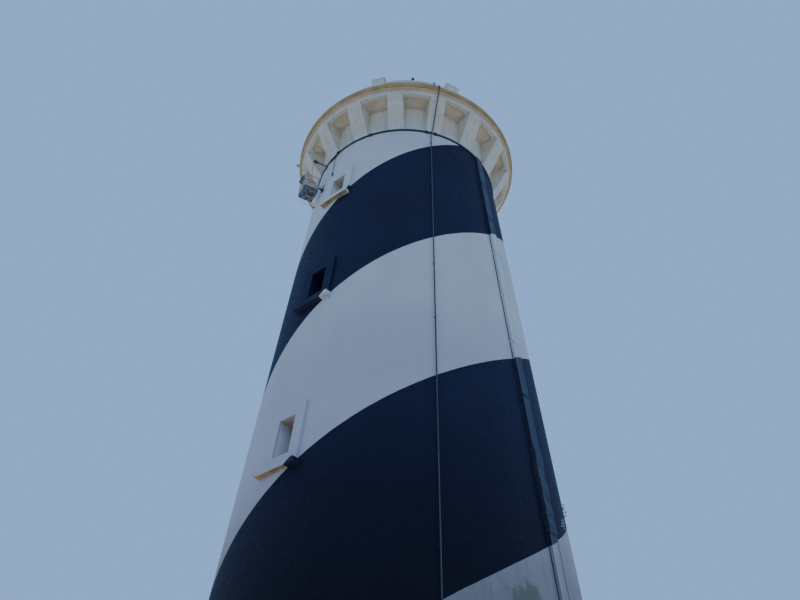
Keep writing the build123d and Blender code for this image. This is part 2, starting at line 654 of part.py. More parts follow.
def conductor():
    """The lightning conductor: up the shaft, over the corbel, round the cornice and over the parapet."""
    nose = NECK_RADIUS + CORBEL_REACH
    rim = nose + CORNICE_PROUD + CONDUCTOR_STANDOFF
    deck = DECK_HEIGHT + CONDUCTOR_STANDOFF / 2
    wall = PARAPET_RADIUS + COPING_PROUD + CONDUCTOR_STANDOFF
    over = PARAPET_TOP + CONDUCTOR_STANDOFF / 2
    crown = CONDUCTOR_CROWN_BEARING
    stops = [
        (CONDUCTOR_FOOT_BEARING, BASE_RADIUS + CONDUCTOR_STANDOFF, CONDUCTOR_FOOT_HEIGHT),
        (CONDUCTOR_NECK_BEARING, NECK_RADIUS + CONDUCTOR_STANDOFF, NECK_HEIGHT - CONDUCTOR_STANDOFF),
        (crown, NECK_RADIUS + CORBEL_TOE + CONDUCTOR_STANDOFF, NECK_HEIGHT + CONDUCTOR_NECK_RISE),
        (crown, nose + CONDUCTOR_STANDOFF, SOFFIT_HEIGHT - FASCIA_DROP - CONDUCTOR_STANDOFF / 2),
        (crown, rim, DECK_HEIGHT - CORNICE_BAND - CONDUCTOR_STANDOFF),
        (crown, rim, deck), (crown, wall, deck), (crown, wall, over),
        (crown, PARAPET_RADIUS - PARAPET_THICKNESS / 2, over)]
    corners = [point_at(*stop) for stop in stops]
    path = FilletPolyline(corners, radius=CONDUCTOR_BEND)
    tube = sweep(Plane(origin=path @ 0, z_dir=path % 0) * Circle(CONDUCTOR_RADIUS), path=path)
    foot = Vector(*corners[0])
    run = Vector(*corners[1]) - foot
    clips = []
    rise = (NECK_HEIGHT - 2 * CONDUCTOR_CLIP_MARGIN) / (CONDUCTOR_CLIPS - 1)
    for index in range(CONDUCTOR_CLIPS):
        height = CONDUCTOR_CLIP_MARGIN + index * rise
        held = foot + run * ((height - foot.Z) / run.Z)
        clips.append(radial_block(CLIP_WIDTH, outer_radius(height) - CLIP_WIDTH, hypot(held.X, held.Y),
                                  height, height + CLIP_HEIGHT, degrees(atan2(held.X, -held.Y))))
    fitted = [clip - shaft_core() for clip in clips]
    rim_face = nose + CORNICE_PROUD + SEAT_GAP
    band_middle = DECK_HEIGHT - CORNICE_BAND / 2
    fitted.append(radial_block(CLIP_WIDTH, rim_face, rim, band_middle, band_middle + CLIP_HEIGHT, crown))
    parapet_middle = TERRACE_HEIGHT + PARAPET_HEIGHT / 2
    fitted.append(radial_block(CLIP_WIDTH, PARAPET_RADIUS + SEAT_GAP, wall, parapet_middle,
                               parapet_middle + CLIP_HEIGHT, crown))
    coping_clip = PARAPET_RADIUS - CLIP_HEIGHT
    fitted.append(radial_block(CLIP_WIDTH, coping_clip - CLIP_HEIGHT, coping_clip,
                               PARAPET_TOP + SEAT_GAP, over, crown))
    for clip in fitted:
        tube += clip
    return tube


def davit_levels():
    """Height of the davit's axis, and the radii of its rope and of its sheave's middle."""
    rope_radius = NECK_RADIUS + DAVIT_REACH
    return NECK_HEIGHT - DAVIT_DROP, rope_radius, rope_radius - SHEAVE_RADIUS


def davit():
    """The davit: a wall plate, a tube that stands out from it, and a yoke with the sheave's pin."""
    axis, _, sheave_middle = davit_levels()
    plate_top = axis + DAVIT_PLATE_RISE
    plate_low = plate_top - DAVIT_PLATE_SIZE
    plate_face = outer_radius(plate_low) + DAVIT_PLATE_THICKNESS
    plate = radial_block(DAVIT_PLATE_SIZE, plate_face - DAVIT_PLATE_SIZE, plate_face,
                         plate_low, plate_top, DAVIT_BEARING) - shaft_core()
    yoke_back = sheave_middle - SHEAVE_RADIUS - YOKE_NOSE
    tube = round_bar(point_at(DAVIT_BEARING, plate_face - SEAT_GAP, axis),
                     point_at(DAVIT_BEARING, yoke_back + YOKE_BITE, axis), DAVIT_TUBE_RADIUS)
    low = axis - YOKE_HEIGHT / 2
    high = axis + YOKE_HEIGHT / 2
    yoke = radial_block(YOKE_WIDTH, yoke_back, sheave_middle + YOKE_NOSE, low, high, DAVIT_BEARING)
    slot = radial_block(YOKE_WIDTH - 2 * YOKE_CHEEK, yoke_back + 2 * YOKE_BITE, sheave_middle + YOKE_NOSE,
                        low, high, DAVIT_BEARING)
    pin = round_bar(point_at(DAVIT_BEARING, sheave_middle, axis, -YOKE_WIDTH / 2),
                    point_at(DAVIT_BEARING, sheave_middle, axis, YOKE_WIDTH / 2), SHEAVE_PIN_RADIUS)
    return plate + tube + (yoke - slot) + pin


def davit_sheave():
    """The grooved sheave on the davit's pin."""
    axis, _, sheave_middle = davit_levels()
    width = YOKE_WIDTH - 2 * YOKE_CHEEK - 2 * SEAT_GAP
    wheel = Cylinder(SHEAVE_RADIUS + ROPE_RADIUS, width) - Cylinder(SHEAVE_PIN_RADIUS + SEAT_GAP, width)
    wheel -= Torus(SHEAVE_RADIUS, ROPE_RADIUS + SEAT_GAP)
    wheel -= (Cylinder(SHEAVE_RADIUS + 2 * ROPE_RADIUS, 2 * ROPE_RADIUS + 2 * SEAT_GAP)
              - Cylinder(SHEAVE_RADIUS, 2 * ROPE_RADIUS + 2 * SEAT_GAP))
    return at_bearing(Pos(0, -sheave_middle, axis) * Rot(0, 90, 0) * wheel, DAVIT_BEARING)


def hoist_rope():
    """The taut rope from the neck band, over the sheave and down to the cradle's eye."""
    axis, rope_radius, sheave_middle = davit_levels()
    eye_top = NECK_HEIGHT - CRADLE_TOP_DROP + CRADLE_EYE
    over = axis + SHEAVE_RADIUS
    band_face = outer_radius(over - ROPE_RADIUS) + NECK_BAND_THICKNESS
    back = Line((0, -band_face - SEAT_GAP, over), (0, -sheave_middle, over))
    lean = SHEAVE_RADIUS / sqrt(2)
    turn = ThreePointArc(
        (0, -sheave_middle, over), (0, -sheave_middle - lean, axis + lean), (0, -rope_radius, axis))
    drop = Line((0, -rope_radius, axis), (0, -rope_radius, eye_top + SEAT_GAP))
    path = Wire([back, turn, drop])
    rope = sweep(Plane(origin=path @ 0, z_dir=path % 0) * Circle(ROPE_RADIUS), path=path)
    return at_bearing(rope, DAVIT_BEARING)


def cradle_ring(low, high, thickness):
    """A rectangular ring on the cradle's outline, between two heights."""
    middle = NECK_RADIUS + DAVIT_REACH
    near = middle - CRADLE_DEPTH / 2
    far = middle + CRADLE_DEPTH / 2
    body = radial_block(CRADLE_WIDTH, near, far, low, high, CRADLE_BEARING)
    return body - radial_block(CRADLE_WIDTH - 2 * thickness, near + thickness, far - thickness,
                               low, high, CRADLE_BEARING)


def cradle_frame():
    """The cradle's rails, posts, toe boards and lifting beam with its eye."""
    middle = NECK_RADIUS + DAVIT_REACH
    top = NECK_HEIGHT - CRADLE_TOP_DROP
    low = top - CRADLE_HEIGHT
    frame = cradle_ring(low, low + CRADLE_BAR, CRADLE_BAR)
    frame += cradle_ring(low + CRADLE_BAR, low + CRADLE_BAR + TOE_BOARD_HEIGHT, TOE_BOARD_THICKNESS)
    frame += cradle_ring(low + CRADLE_MID_RAIL, low + CRADLE_MID_RAIL + CRADLE_BAR, CRADLE_BAR)
    frame += cradle_ring(top - CRADLE_BAR, top, CRADLE_BAR)
    for aside in (-1, 1):
        for out in (-1, 1):
            post_aside = aside * (CRADLE_WIDTH - CRADLE_BAR) / 2
            post_middle = middle + out * (CRADLE_DEPTH - CRADLE_BAR) / 2
            frame += radial_block(CRADLE_BAR, post_middle - CRADLE_BAR / 2, post_middle + CRADLE_BAR / 2,
                                  low, top, CRADLE_BEARING, post_aside)
    frame += radial_block(CRADLE_WIDTH - CRADLE_BAR, middle - CRADLE_BAR / 2, middle + CRADLE_BAR / 2,
                          top - CRADLE_BAR, top, CRADLE_BEARING)
    frame += radial_block(CRADLE_EYE, middle - CRADLE_BAR / 2, middle + CRADLE_BAR / 2,
                          top - CRADLE_BAR / 2, top + CRADLE_EYE, DAVIT_BEARING)
    return frame


def cradle_floor():
    """The slotted floor plate that lies inside the cradle's lowest ring."""
    middle = NECK_RADIUS + DAVIT_REACH
    low = NECK_HEIGHT - CRADLE_TOP_DROP - CRADLE_HEIGHT
    width = CRADLE_WIDTH - 2 * CRADLE_BAR - 2 * SEAT_GAP
    half_depth = CRADLE_DEPTH / 2 - CRADLE_BAR - SEAT_GAP
    floor = radial_block(width, middle - half_depth, middle + half_depth,
                         low, low + CRADLE_FLOOR_THICKNESS, CRADLE_BEARING)
    pitch = width / CRADLE_SLOTS
    slot_half = half_depth - CRADLE_SLOT_WIDTH
    for index in range(CRADLE_SLOTS):
        aside = (index + 0.5) * pitch - width / 2
        floor -= radial_block(CRADLE_SLOT_WIDTH, middle - slot_half, middle + slot_half,
                              low, low + CRADLE_FLOOR_THICKNESS, CRADLE_BEARING, aside)
    return floor


def cradle_brackets():
    """The braced arm that holds the cradle off the wall, and the wall clip of the slack cable."""
    low = NECK_HEIGHT - CRADLE_TOP_DROP - CRADLE_HEIGHT + BRACKET_HEIGHT
    face = outer_radius(low)
    cradle_side = NECK_RADIUS + DAVIT_REACH - CRADLE_DEPTH / 2 - SEAT_GAP
    aside = (CRADLE_WIDTH - BRACKET_BAR) / 2
    bracket = radial_block(BRACKET_BAR, face - BRACKET_PAD, cradle_side, low, low + BRACKET_BAR,
                           CRADLE_BEARING, aside)
    bracket += radial_block(BRACKET_PAD, face - BRACKET_PAD, face + BRACKET_PAD_THICKNESS,
                            low - BRACKET_PAD / 2, low + BRACKET_PAD / 2, CRADLE_BEARING, aside)
    bracket += round_bar(
        point_at(CRADLE_BEARING, cradle_side - BRACKET_BAR, low + BRACKET_BAR / 2, aside),
        point_at(CRADLE_BEARING, face - BRACKET_BAR, low + BRACE_RISE, aside + BRACE_SPREAD), BRACE_RADIUS)
    across, along, level = SLACK_CABLE_ROUTE[-1]
    half = CABLE_CLIP_SIZE / 2
    clip = radial_block(CABLE_CLIP_SIZE, face - CABLE_CLIP_SIZE, hypot(across, along) - CABLE_CLIP_GAP,
                        level - half, level + half, degrees(atan2(across, -along)))
    return [bracket - shaft_core(), clip - shaft_core()]


def make_equipment():
    """Davit, sheave, rope, cradle, brackets, sling and slack cable."""
    nodes = {"davit": davit(), "davit_sheave": davit_sheave(), "hoist_rope": hoist_rope(),
             "cradle_frame": cradle_frame(), "cradle_floor": cradle_floor(),
             "cradle_brackets": Compound(cradle_brackets())}
    nodes["cable_sling"] = route_tube(SLING_ROUTE, SLING_RADIUS)
    top = Vector(*SLING_ROUTE[-1]) - Vector(0, 0, HOOK_GAP)
    shank = Pos(top) * Cylinder(
        HOOK_SHANK_RADIUS, HOOK_SHANK_LENGTH, align=(Align.CENTER, Align.CENTER, Align.MAX))
    ring = Pos(top - Vector(0, 0, HOOK_SHANK_LENGTH + HOOK_RING_RADIUS)) * Rot(90, 0, 0) * Torus(
        HOOK_RING_RADIUS, HOOK_BAR_RADIUS)
    nodes["sling_hook"] = shank + ring
    nodes["cable_slack"] = route_tube(SLACK_CABLE_ROUTE, SLACK_CABLE_RADIUS)
    return nodes


def make_fittings():
    """The neck band, the duct, the conductor and the lamps."""
    nodes = {"neck_band": neck_band(), "duct": duct(), "conductor": conductor()}
    coping_lamp = radial_block(LAMP_LEG, PARAPET_RADIUS - LAMP_DEPTH, PARAPET_RADIUS, PARAPET_TOP + SEAT_GAP,
                               PARAPET_TOP + LAMP_LEG, COPING_LAMP_BEARING)
    coping_lamp += radial_block(LAMP_WIDTH, PARAPET_RADIUS - LAMP_DEPTH / 2, PARAPET_RADIUS + LAMP_DEPTH / 2,
                                PARAPET_TOP + LAMP_LEG, PARAPET_TOP + LAMP_LEG + LAMP_HEIGHT,
                                COPING_LAMP_BEARING)
    rim = NECK_RADIUS + CORBEL_REACH + CORNICE_PROUD
    rim_low = DECK_HEIGHT - CORNICE_BAND / 2
    rim_lamp = radial_block(LAMP_LEG, rim - LAMP_LEG, rim + LAMP_LEG, rim_low, rim_low + LAMP_LEG,
                            RIM_LAMP_BEARING)
    rim_lamp += radial_block(LAMP_WIDTH, rim + LAMP_LEG, rim + LAMP_LEG + LAMP_DEPTH, rim_low - LAMP_LEG / 2,
                             rim_low - LAMP_LEG / 2 + LAMP_DEPTH, RIM_LAMP_BEARING)
    rim_lamp -= Pos(0, 0, DECK_HEIGHT - CORNICE_BAND) * Cylinder(
        rim + SEAT_GAP, CORNICE_BAND, align=(Align.CENTER, Align.CENTER, Align.MIN))
    nodes["lamps"] = Compound([coping_lamp, rim_lamp])
    return nodes


def main():
    """Build every node and write each to its own file."""
    os.makedirs("parts", exist_ok=True)
    nodes = {}
    for maker in (make_shaft, make_crown, make_service_room, make_lantern, make_fittings,
                  make_equipment):
        nodes.update(maker())
    for name, shape in nodes.items():
        export_step(shape, f"parts/{name}.step")
    print(len(nodes), "nodes")


main()
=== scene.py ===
import bmesh
import bpy
import json
import math
import random
from mathutils import Matrix, Vector


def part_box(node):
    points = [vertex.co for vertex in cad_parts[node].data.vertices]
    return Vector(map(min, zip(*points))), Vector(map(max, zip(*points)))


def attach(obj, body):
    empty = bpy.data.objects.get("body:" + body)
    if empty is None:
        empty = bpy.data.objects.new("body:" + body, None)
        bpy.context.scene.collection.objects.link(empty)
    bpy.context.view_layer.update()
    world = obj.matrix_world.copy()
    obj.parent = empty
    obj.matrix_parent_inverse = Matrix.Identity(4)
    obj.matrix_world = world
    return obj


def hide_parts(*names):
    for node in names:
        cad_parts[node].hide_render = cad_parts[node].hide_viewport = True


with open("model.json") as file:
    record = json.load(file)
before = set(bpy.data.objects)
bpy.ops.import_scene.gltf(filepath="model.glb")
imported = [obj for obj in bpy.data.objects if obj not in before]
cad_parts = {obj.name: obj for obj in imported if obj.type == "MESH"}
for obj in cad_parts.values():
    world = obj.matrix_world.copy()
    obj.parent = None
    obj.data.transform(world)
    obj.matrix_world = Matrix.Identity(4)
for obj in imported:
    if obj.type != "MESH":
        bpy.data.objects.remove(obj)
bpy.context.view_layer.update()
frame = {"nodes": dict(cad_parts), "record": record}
nodes = frame["nodes"]

# Lengths are in metres. A bearing is in degrees from the front, -Y, towards the right side, +X.

# Sizes read from the frame
NECK_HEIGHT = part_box("neck_band")[1].z
BASE_RADIUS = -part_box("wall_left")[0].x
SOFFIT_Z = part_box("wall_right")[1].z
NECK_RADIUS = max(math.hypot(v.co.x, v.co.y) for v in nodes["wall_right"].data.vertices
                  if v.co.z > SOFFIT_Z - 0.01)
TAPER = (BASE_RADIUS - NECK_RADIUS) / NECK_HEIGHT
DECK_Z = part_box("terrace_floor")[0].z
TERRACE_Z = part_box("terrace_floor")[1].z
RIM_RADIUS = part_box("cornice_right")[1].x
DUCT_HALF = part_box("duct")[1].y
DUCT_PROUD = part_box("duct")[1].x - BASE_RADIUS
CRADLE_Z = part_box("cradle_floor")[0].z

# Crown and lantern, as in the solids
NICHES = 16
CORBEL_WIDTH = 0.73
FASCIA_INNER = NECK_RADIUS + 0.71
FASCIA_WIDTH = 0.18
RIM_BAND = 0.25
FILLET_BAND = 0.08
LANTERN_RADIUS = 1.75
LANTERN_SIDES = 12

# The camera of the photograph: 800 pixels across, fitted to the outline of the tower
PHOTO_WIDTH = 800.0
FOCAL_PIXELS = 720.0
SENSOR_WIDTH = 36.0
CAMERA_BEARING = 40.1
CAMERA_DISTANCE = 23.85
EYE_HEIGHT = 1.6
CAMERA_PITCH = 41.51
CAMERA_YAW = -0.32
CAMERA_ROLL = 1.46

# The painted bands: two starts that climb round the shaft, with a slow wave
BAND_PITCH = 3.543
BAND_STRETCH = 0.0192
BAND_WAVE = 0.0819
BAND_WAVE_BEARING = 66.2
BAND_START = 0.108
BAND_SHARE = 0.496
BAND_RAGGED = 0.0022
BAND_EDGE = 0.0007

# Windows: bearing, sill height and opening height
WINDOWS = ((0.0, 5.2, 1.39), (0.0, 12.48, 1.39), (0.0, 19.46, 1.27), (0.0, 25.72, 1.06),
           (180.0, 8.9, 1.27), (180.0, 15.9, 1.27), (180.0, 22.6, 1.27))
WINDOW_WIDTH = 0.72
REVEAL_DEPTH = 0.55
REBATE = 0.09
FRAME_DEPTH = 0.08
FRAME_FACE = 0.11

# The neck band's clamps and the cradle, as in the solids
BAND_CLAMPS = (-6.3, 18.0, 52.0, 57.5)
BAND_CLAMP_PROUD = 0.075
CRADLE_BEARING = -20.7
CRADLE_REACH = 0.725
CRADLE_WIDTH = 0.74
CRADLE_DEPTH = 0.66
CRADLE_BAR = 0.028
CRADLE_TOE = 0.12
CRADLE_MID_RAIL = 0.50
CRADLE_HEIGHT = 0.95

# The stretch of the duct that is wrapped
WRAP_LOW = 10.42
WRAP_HIGH = 13.35

# Routes of the sling and the slack cable, as in the solids
SLING_RADIUS = 0.014
SLING_ROUTE = [(-0.493, -4.445, 29.117), (-0.540, -4.450, 28.780), (-0.572, -4.460, 28.420),
               (-0.590, -4.470, 28.040), (-0.602, -4.480, 27.690)]
SLACK_RADIUS = 0.011
SLACK_ROUTE = [(-2.164, -4.957, 26.794), (-2.136, -4.882, 26.640), (-2.089, -4.728, 26.500),
               (-2.045, -4.553, 26.450), (-2.010, -4.342, 26.500), (-2.006, -4.162, 26.590)]

# Colours of the shaft's bands
LIME = (0.54, 0.553, 0.543, 1)
LIME_PALE = (0.588, 0.60, 0.582, 1)
LIME_LOW = (0.46, 0.38, 0.465, 1)
LIME_STREAK = (0.42, 0.44, 0.42, 1)
LIME_FINE_STREAK = (0.42, 0.42, 0.38, 1)
# Grime and painted shade of trees, low on the white
GRIME_AND_TREE_SHADE = (0.212, 0.194, 0.186, 1)
GRIME_RUN = (0.11, 0.12, 0.11, 1)
NAVY = (0.0092, 0.0100, 0.0330, 1)
NAVY_PALE = (0.0122, 0.0132, 0.0435, 1)
NAVY_STREAK = (0.018, 0.026, 0.055, 1)
NAVY_LOW = (0.0042, 0.0022, 0.0098, 1)

# Colours of the crown, the reveals and the stains, with painted light and shade among them
CREAM = (0.59, 0.56, 0.485, 1)
CREAM_DEEP = (0.53, 0.50, 0.425, 1)
# A lighter white for the parapet, which is painted light
PARAPET_LIT_WHITE = (0.59, 0.60, 0.53, 1)
# Tan on the niches' soffits is partly a stain and partly painted shade; the niches' cream is painted bounce
# light
TAN_STAIN_AND_SHADE = (0.80, 0.67, 0.48, 1)
TAN_DEEP_STAIN_AND_SHADE = (0.66, 0.52, 0.33, 1)
NICHE_BOUNCE_LIGHT_CREAM = (0.98, 0.88, 0.72, 1)
# Painted light: the reveals' white, lighter than the wall's
REVEAL_LIT_LOW = (0.78, 0.77, 0.74, 1)
REVEAL_LIT_HIGH = (0.94, 0.90, 0.84, 1)
HEAD_STAIN_LOW = (0.52, 0.32, 0.24, 1)
HEAD_STAIN_HIGH = (0.42, 0.34, 0.25, 1)
# Olive on the upper jambs, partly a stain and partly painted shade below the heads
OLIVE_STAIN_AND_SHADE = (0.40, 0.38, 0.24, 1)
OCHRE = (0.48, 0.31, 0.12, 1)
OCHRE_DEEP = (0.36, 0.23, 0.085, 1)
RUST_DRIP = (0.25, 0.17, 0.11, 1)
ALGAE = (0.085, 0.105, 0.060, 1)
SPLASH = (0.15, 0.150, 0.13, 1)

# The large patch of algae beside the duct, low on the wall
PATCH_CENTRE = Vector((5.7, -1.5, 8.05))

# Colours of the sills' undersides, the duct and the conductor
SILL_TAN_LEFT = (0.46, 0.29, 0.13, 1)
SILL_TAN_RIGHT = (0.34, 0.31, 0.14, 1)
SILL_TAN_LOW = (0.62, 0.36, 0.15, 1)
SILL_STAIN = (0.24, 0.14, 0.06, 1)
# The drip groove under the sills: a dark line of painted shade
SILL_GROOVE_SHADE = (0.10, 0.055, 0.030, 1)
SILL_RUST = (0.13, 0.06, 0.03, 1)
# A lighter blue on the duct's front where it crosses the dark bands: painted sheen
DUCT_FRONT_SHEEN = (0.010, 0.017, 0.041, 1)
DUCT_FRONT_SHEEN_PALE = (0.016, 0.026, 0.058, 1)
CASING_RUST = (0.15, 0.070, 0.035, 1)
# The corner beads' pale blue on the dark bands is a painted highlight
BEAD_HIGHLIGHT_BLUE = (0.05, 0.075, 0.13, 1)
BEAD_HIGHLIGHT_PALE = (0.11, 0.14, 0.20, 1)
BEAD_WHITE = (0.55, 0.56, 0.55, 1)
BEAD_DARK = (0.03, 0.028, 0.03, 1)
WIRE_DARK = (0.022, 0.020, 0.020, 1)
WIRE_RUST = (0.070, 0.042, 0.027, 1)
# The conductor's painted sheen on the dark bands
WIRE_SHEEN_GREY = (0.048, 0.060, 0.078, 1)
SPOT_RUST = (0.12, 0.065, 0.035, 1)
STEEL_RUST = (0.13, 0.055, 0.022, 1)

random.seed(7)


def shaft_radius(height):
    """Outer radius of the shaft at a height."""
    return BASE_RADIUS - TAPER * min(height, NECK_HEIGHT)


def polar(bearing, radius, height):
    """The point at a bearing, radius and height."""
    turn = math.radians(bearing)
    return Vector((radius * math.sin(turn), -radius * math.cos(turn), height))


def facing(bearing):
    """Turns a shape that faces the front round to a bearing."""
    return Matrix.Rotation(math.radians(bearing), 4, "Z")


# Camera, floor and light

def make_camera():
    """The photograph's camera, near the ground, looking up."""
    pitch = math.radians(CAMERA_PITCH)
    yaw = math.radians(CAMERA_YAW)
    roll = math.radians(CAMERA_ROLL)
    ahead = Vector((math.sin(yaw) * math.cos(pitch), math.cos(yaw) * math.cos(pitch), math.sin(pitch)))
    level = Vector((math.cos(yaw), -math.sin(yaw), 0.0))
    above = level.cross(ahead)
    right = math.cos(roll) * level + math.sin(roll) * above
    up = -math.sin(roll) * level + math.cos(roll) * above
    turn = facing(CAMERA_BEARING).to_3x3()
    axes = Matrix([turn @ right, turn @ up, turn @ -ahead]).transposed()
    data = bpy.data.cameras.new("camera")
    data.sensor_width = SENSOR_WIDTH
    data.lens = FOCAL_PIXELS * SENSOR_WIDTH / PHOTO_WIDTH
    data.clip_end = 500.0
    camera = bpy.data.objects.new("camera", data)
    bpy.context.scene.collection.objects.link(camera)
    place = polar(CAMERA_BEARING, CAMERA_DISTANCE, EYE_HEIGHT)
    camera.matrix_world = Matrix.Translation(place) @ axes.to_4x4()
    bpy.context.scene.camera = camera


def make_floor():
    """A plain pale floor, well beyond the foot of the tower."""
    size = 400.0
    corners = [(-size, -size, 0), (size, -size, 0), (size, size, 0), (-size, size, 0)]
    mesh = bpy.data.meshes.new("floor")
    mesh.from_pydata(corners, [], [(0, 1, 2, 3)])
    floor = bpy.data.objects.new("floor", mesh)
    bpy.context.scene.collection.objects.link(floor)
    g = Graph("floor_paint")
    cloud = g.noise(g.place(), 0.15, 3.0)
    g.put("Base Color", g.blend(cloud, (0.66, 0.63, 0.57, 1), (0.72, 0.69, 0.63, 1)))
    g.put("Roughness", 0.9)
    mesh.materials.append(g.material)


def make_light():
    """A blue sky all round, and one broad soft lamp behind the tower, a little to the right."""
    world = bpy.data.worlds.new("studio")
    bpy.context.scene.world = world
    world.use_nodes = True
    back = world.node_tree.nodes["Background"]
    back.inputs["Color"].default_value = (0.31, 0.55, 1.0, 1)
    back.inputs["Strength"].default_value = 0.88
    data = bpy.data.lights.new("sun_soft", "SUN")
    data.energy = 3.2
    data.angle = math.radians(14)
    data.color = (1.0, 0.95, 0.86)
    lamp = bpy.data.objects.new("sun_soft", data)
    bpy.context.scene.collection.objects.link(lamp)
    bearing = CAMERA_BEARING + 180.0 - 6.0
    height = math.radians(36)
    towards = polar(bearing, math.cos(height), math.sin(height))
    lamp.rotation_euler = towards.to_track_quat("Z", "Y").to_euler()


# Materials

class Graph:
    """Short calls that build the nodes of one material."""

    def __init__(self, name):
        self.material = bpy.data.materials.new(name)
        self.material.use_nodes = True
        self.tree = self.material.node_tree
        self.tree.nodes.clear()
        output = self.tree.nodes.new("ShaderNodeOutputMaterial")
        self.shader = self.tree.nodes.new("ShaderNodeBsdfPrincipled")
        self.tree.links.new(self.shader.outputs["BSDF"], output.inputs["Surface"])

    def set(self, socket, value):
        """Link a socket or set its own value."""
        if isinstance(value, bpy.types.NodeSocket):
            self.tree.links.new(value, socket)
        else:
            socket.default_value = value

    def put(self, name, value):
        """Set one input of the shader."""
        self.set(self.shader.inputs[name], value)

    def place(self):
        """Position in the object's own frame, in metres."""
        return self.tree.nodes.new("ShaderNodeTexCoord").outputs["Object"]

    def normal(self):
        """The direction that the surface faces."""
        return self.tree.nodes.new("ShaderNodeNewGeometry").outputs["Normal"]

    def split(self, vector):
        """The x, y and z of a vector."""
        node = self.tree.nodes.new("ShaderNodeSeparateXYZ")
        self.set(node.inputs[0], vector)
        return node.outputs["X"], node.outputs["Y"], node.outputs["Z"]

    def math(self, operation, a, b=0.0):
        """One step of arithmetic."""
        node = self.tree.nodes.new("ShaderNodeMath")
        node.operation = operation
        self.set(node.inputs[0], a)
        self.set(node.inputs[1], b)
        return node.outputs[0]

    def add(self, a, b):
        return self.math("ADD", a, b)

    def sub(self, a, b):
        return self.math("SUBTRACT", a, b)

    def mul(self, a, b):
        return self.math("MULTIPLY", a, b)

    def all_of(self, *masks):
        """The product of several masks."""
        product = masks[0]
        for mask in masks[1:]:
            product = self.mul(product, mask)
        return product

    def length(self, *parts):
        """The length of a vector that has these parts."""
        total = self.mul(parts[0], parts[0])
        for part in parts[1:]:
            total = self.add(total, self.mul(part, part))
        return self.math("SQRT", total)

    def bearing(self, x, y):
        """The bearing of a point about the tower's axis, in radians."""
        return self.math("ARCTAN2", x, self.mul(y, -1.0))

    def ramp(self, value, low, high, start=0.0, end=1.0):
        """A smooth step from start to end while value goes from low to high."""
        node = self.tree.nodes.new("ShaderNodeMapRange")
        node.interpolation_type = "SMOOTHSTEP"
        for name, number in (("Value", value), ("From Min", low), ("From Max", high),
                             ("To Min", start), ("To Max", end)):
            self.set(node.inputs[name], number)
        return node.outputs["Result"]

    def noise(self, vector, scale, detail=4.0, roughness=0.55):
        """Cloudy noise between about 0.25 and 0.75."""
        node = self.tree.nodes.new("ShaderNodeTexNoise")
        self.set(node.inputs["Vector"], vector)
        self.set(node.inputs["Scale"], scale)
        node.inputs["Detail"].default_value = detail
        node.inputs["Roughness"].default_value = roughness
        return node.outputs[0]

    def streaks(self, place, across, down, detail=5.0, roughness=0.65):
        """Noise drawn out down the wall, of one scale across it and a smaller one down it."""
        node = self.tree.nodes.new("ShaderNodeVectorMath")
        node.operation = "MULTIPLY"
        self.set(node.inputs[0], place)
        node.inputs[1].default_value = (across, across, down)
        return self.noise(node.outputs[0], 1.0, detail, roughness)

    def blend(self, factor, a, b):
        """Colour a at factor 0, colour b at factor 1."""
        node = self.tree.nodes.new("ShaderNodeMix")
        node.data_type = "RGBA"
        self.set(node.inputs["Factor"], factor)
        self.set(node.inputs[6], a)
        self.set(node.inputs[7], b)
        return node.outputs[2]

    def bump(self, height, strength, distance, under=None):
        """Bump from a height, on top of any bump under it."""
        node = self.tree.nodes.new("ShaderNodeBump")
        self.set(node.inputs["Height"], height)
        node.inputs["Strength"].default_value = strength
        node.inputs["Distance"].default_value = distance
        if under is not None:
            self.set(node.inputs["Normal"], under)
        return node.outputs["Normal"]


def band_mask(g, place):
    """1 on the dark bands of the shaft and 0 between them."""
    x, y, z = g.split(place)
    bearing = g.bearing(x, y)
    height = g.math("DIVIDE", g.sub(z, EYE_HEIGHT), NECK_RADIUS)
    climb = g.math("DIVIDE", g.add(height, g.mul(g.mul(height, height), BAND_STRETCH)), BAND_PITCH)
    wave = g.mul(g.math("SINE", g.sub(bearing, math.radians(BAND_WAVE_BEARING))), -BAND_WAVE)
    start = g.add(g.add(g.mul(bearing, 1 / math.pi), BAND_START), wave)
    ragged = g.mul(g.sub(g.noise(place, 2.5, 3.0), 0.5), BAND_RAGGED)
    whole_turns = 40.0
    share = g.math("FRACT", g.add(g.sub(climb, start), g.add(ragged, whole_turns)))
    rising = g.ramp(share, 0.0, BAND_EDGE)
    falling = g.ramp(share, BAND_SHARE, BAND_SHARE + BAND_EDGE, 1.0, 0.0)
    below_neck = g.ramp(z, NECK_HEIGHT - 0.06, NECK_HEIGHT - 0.05, 1.0, 0.0)
    return g.all_of(rising, falling, below_neck)


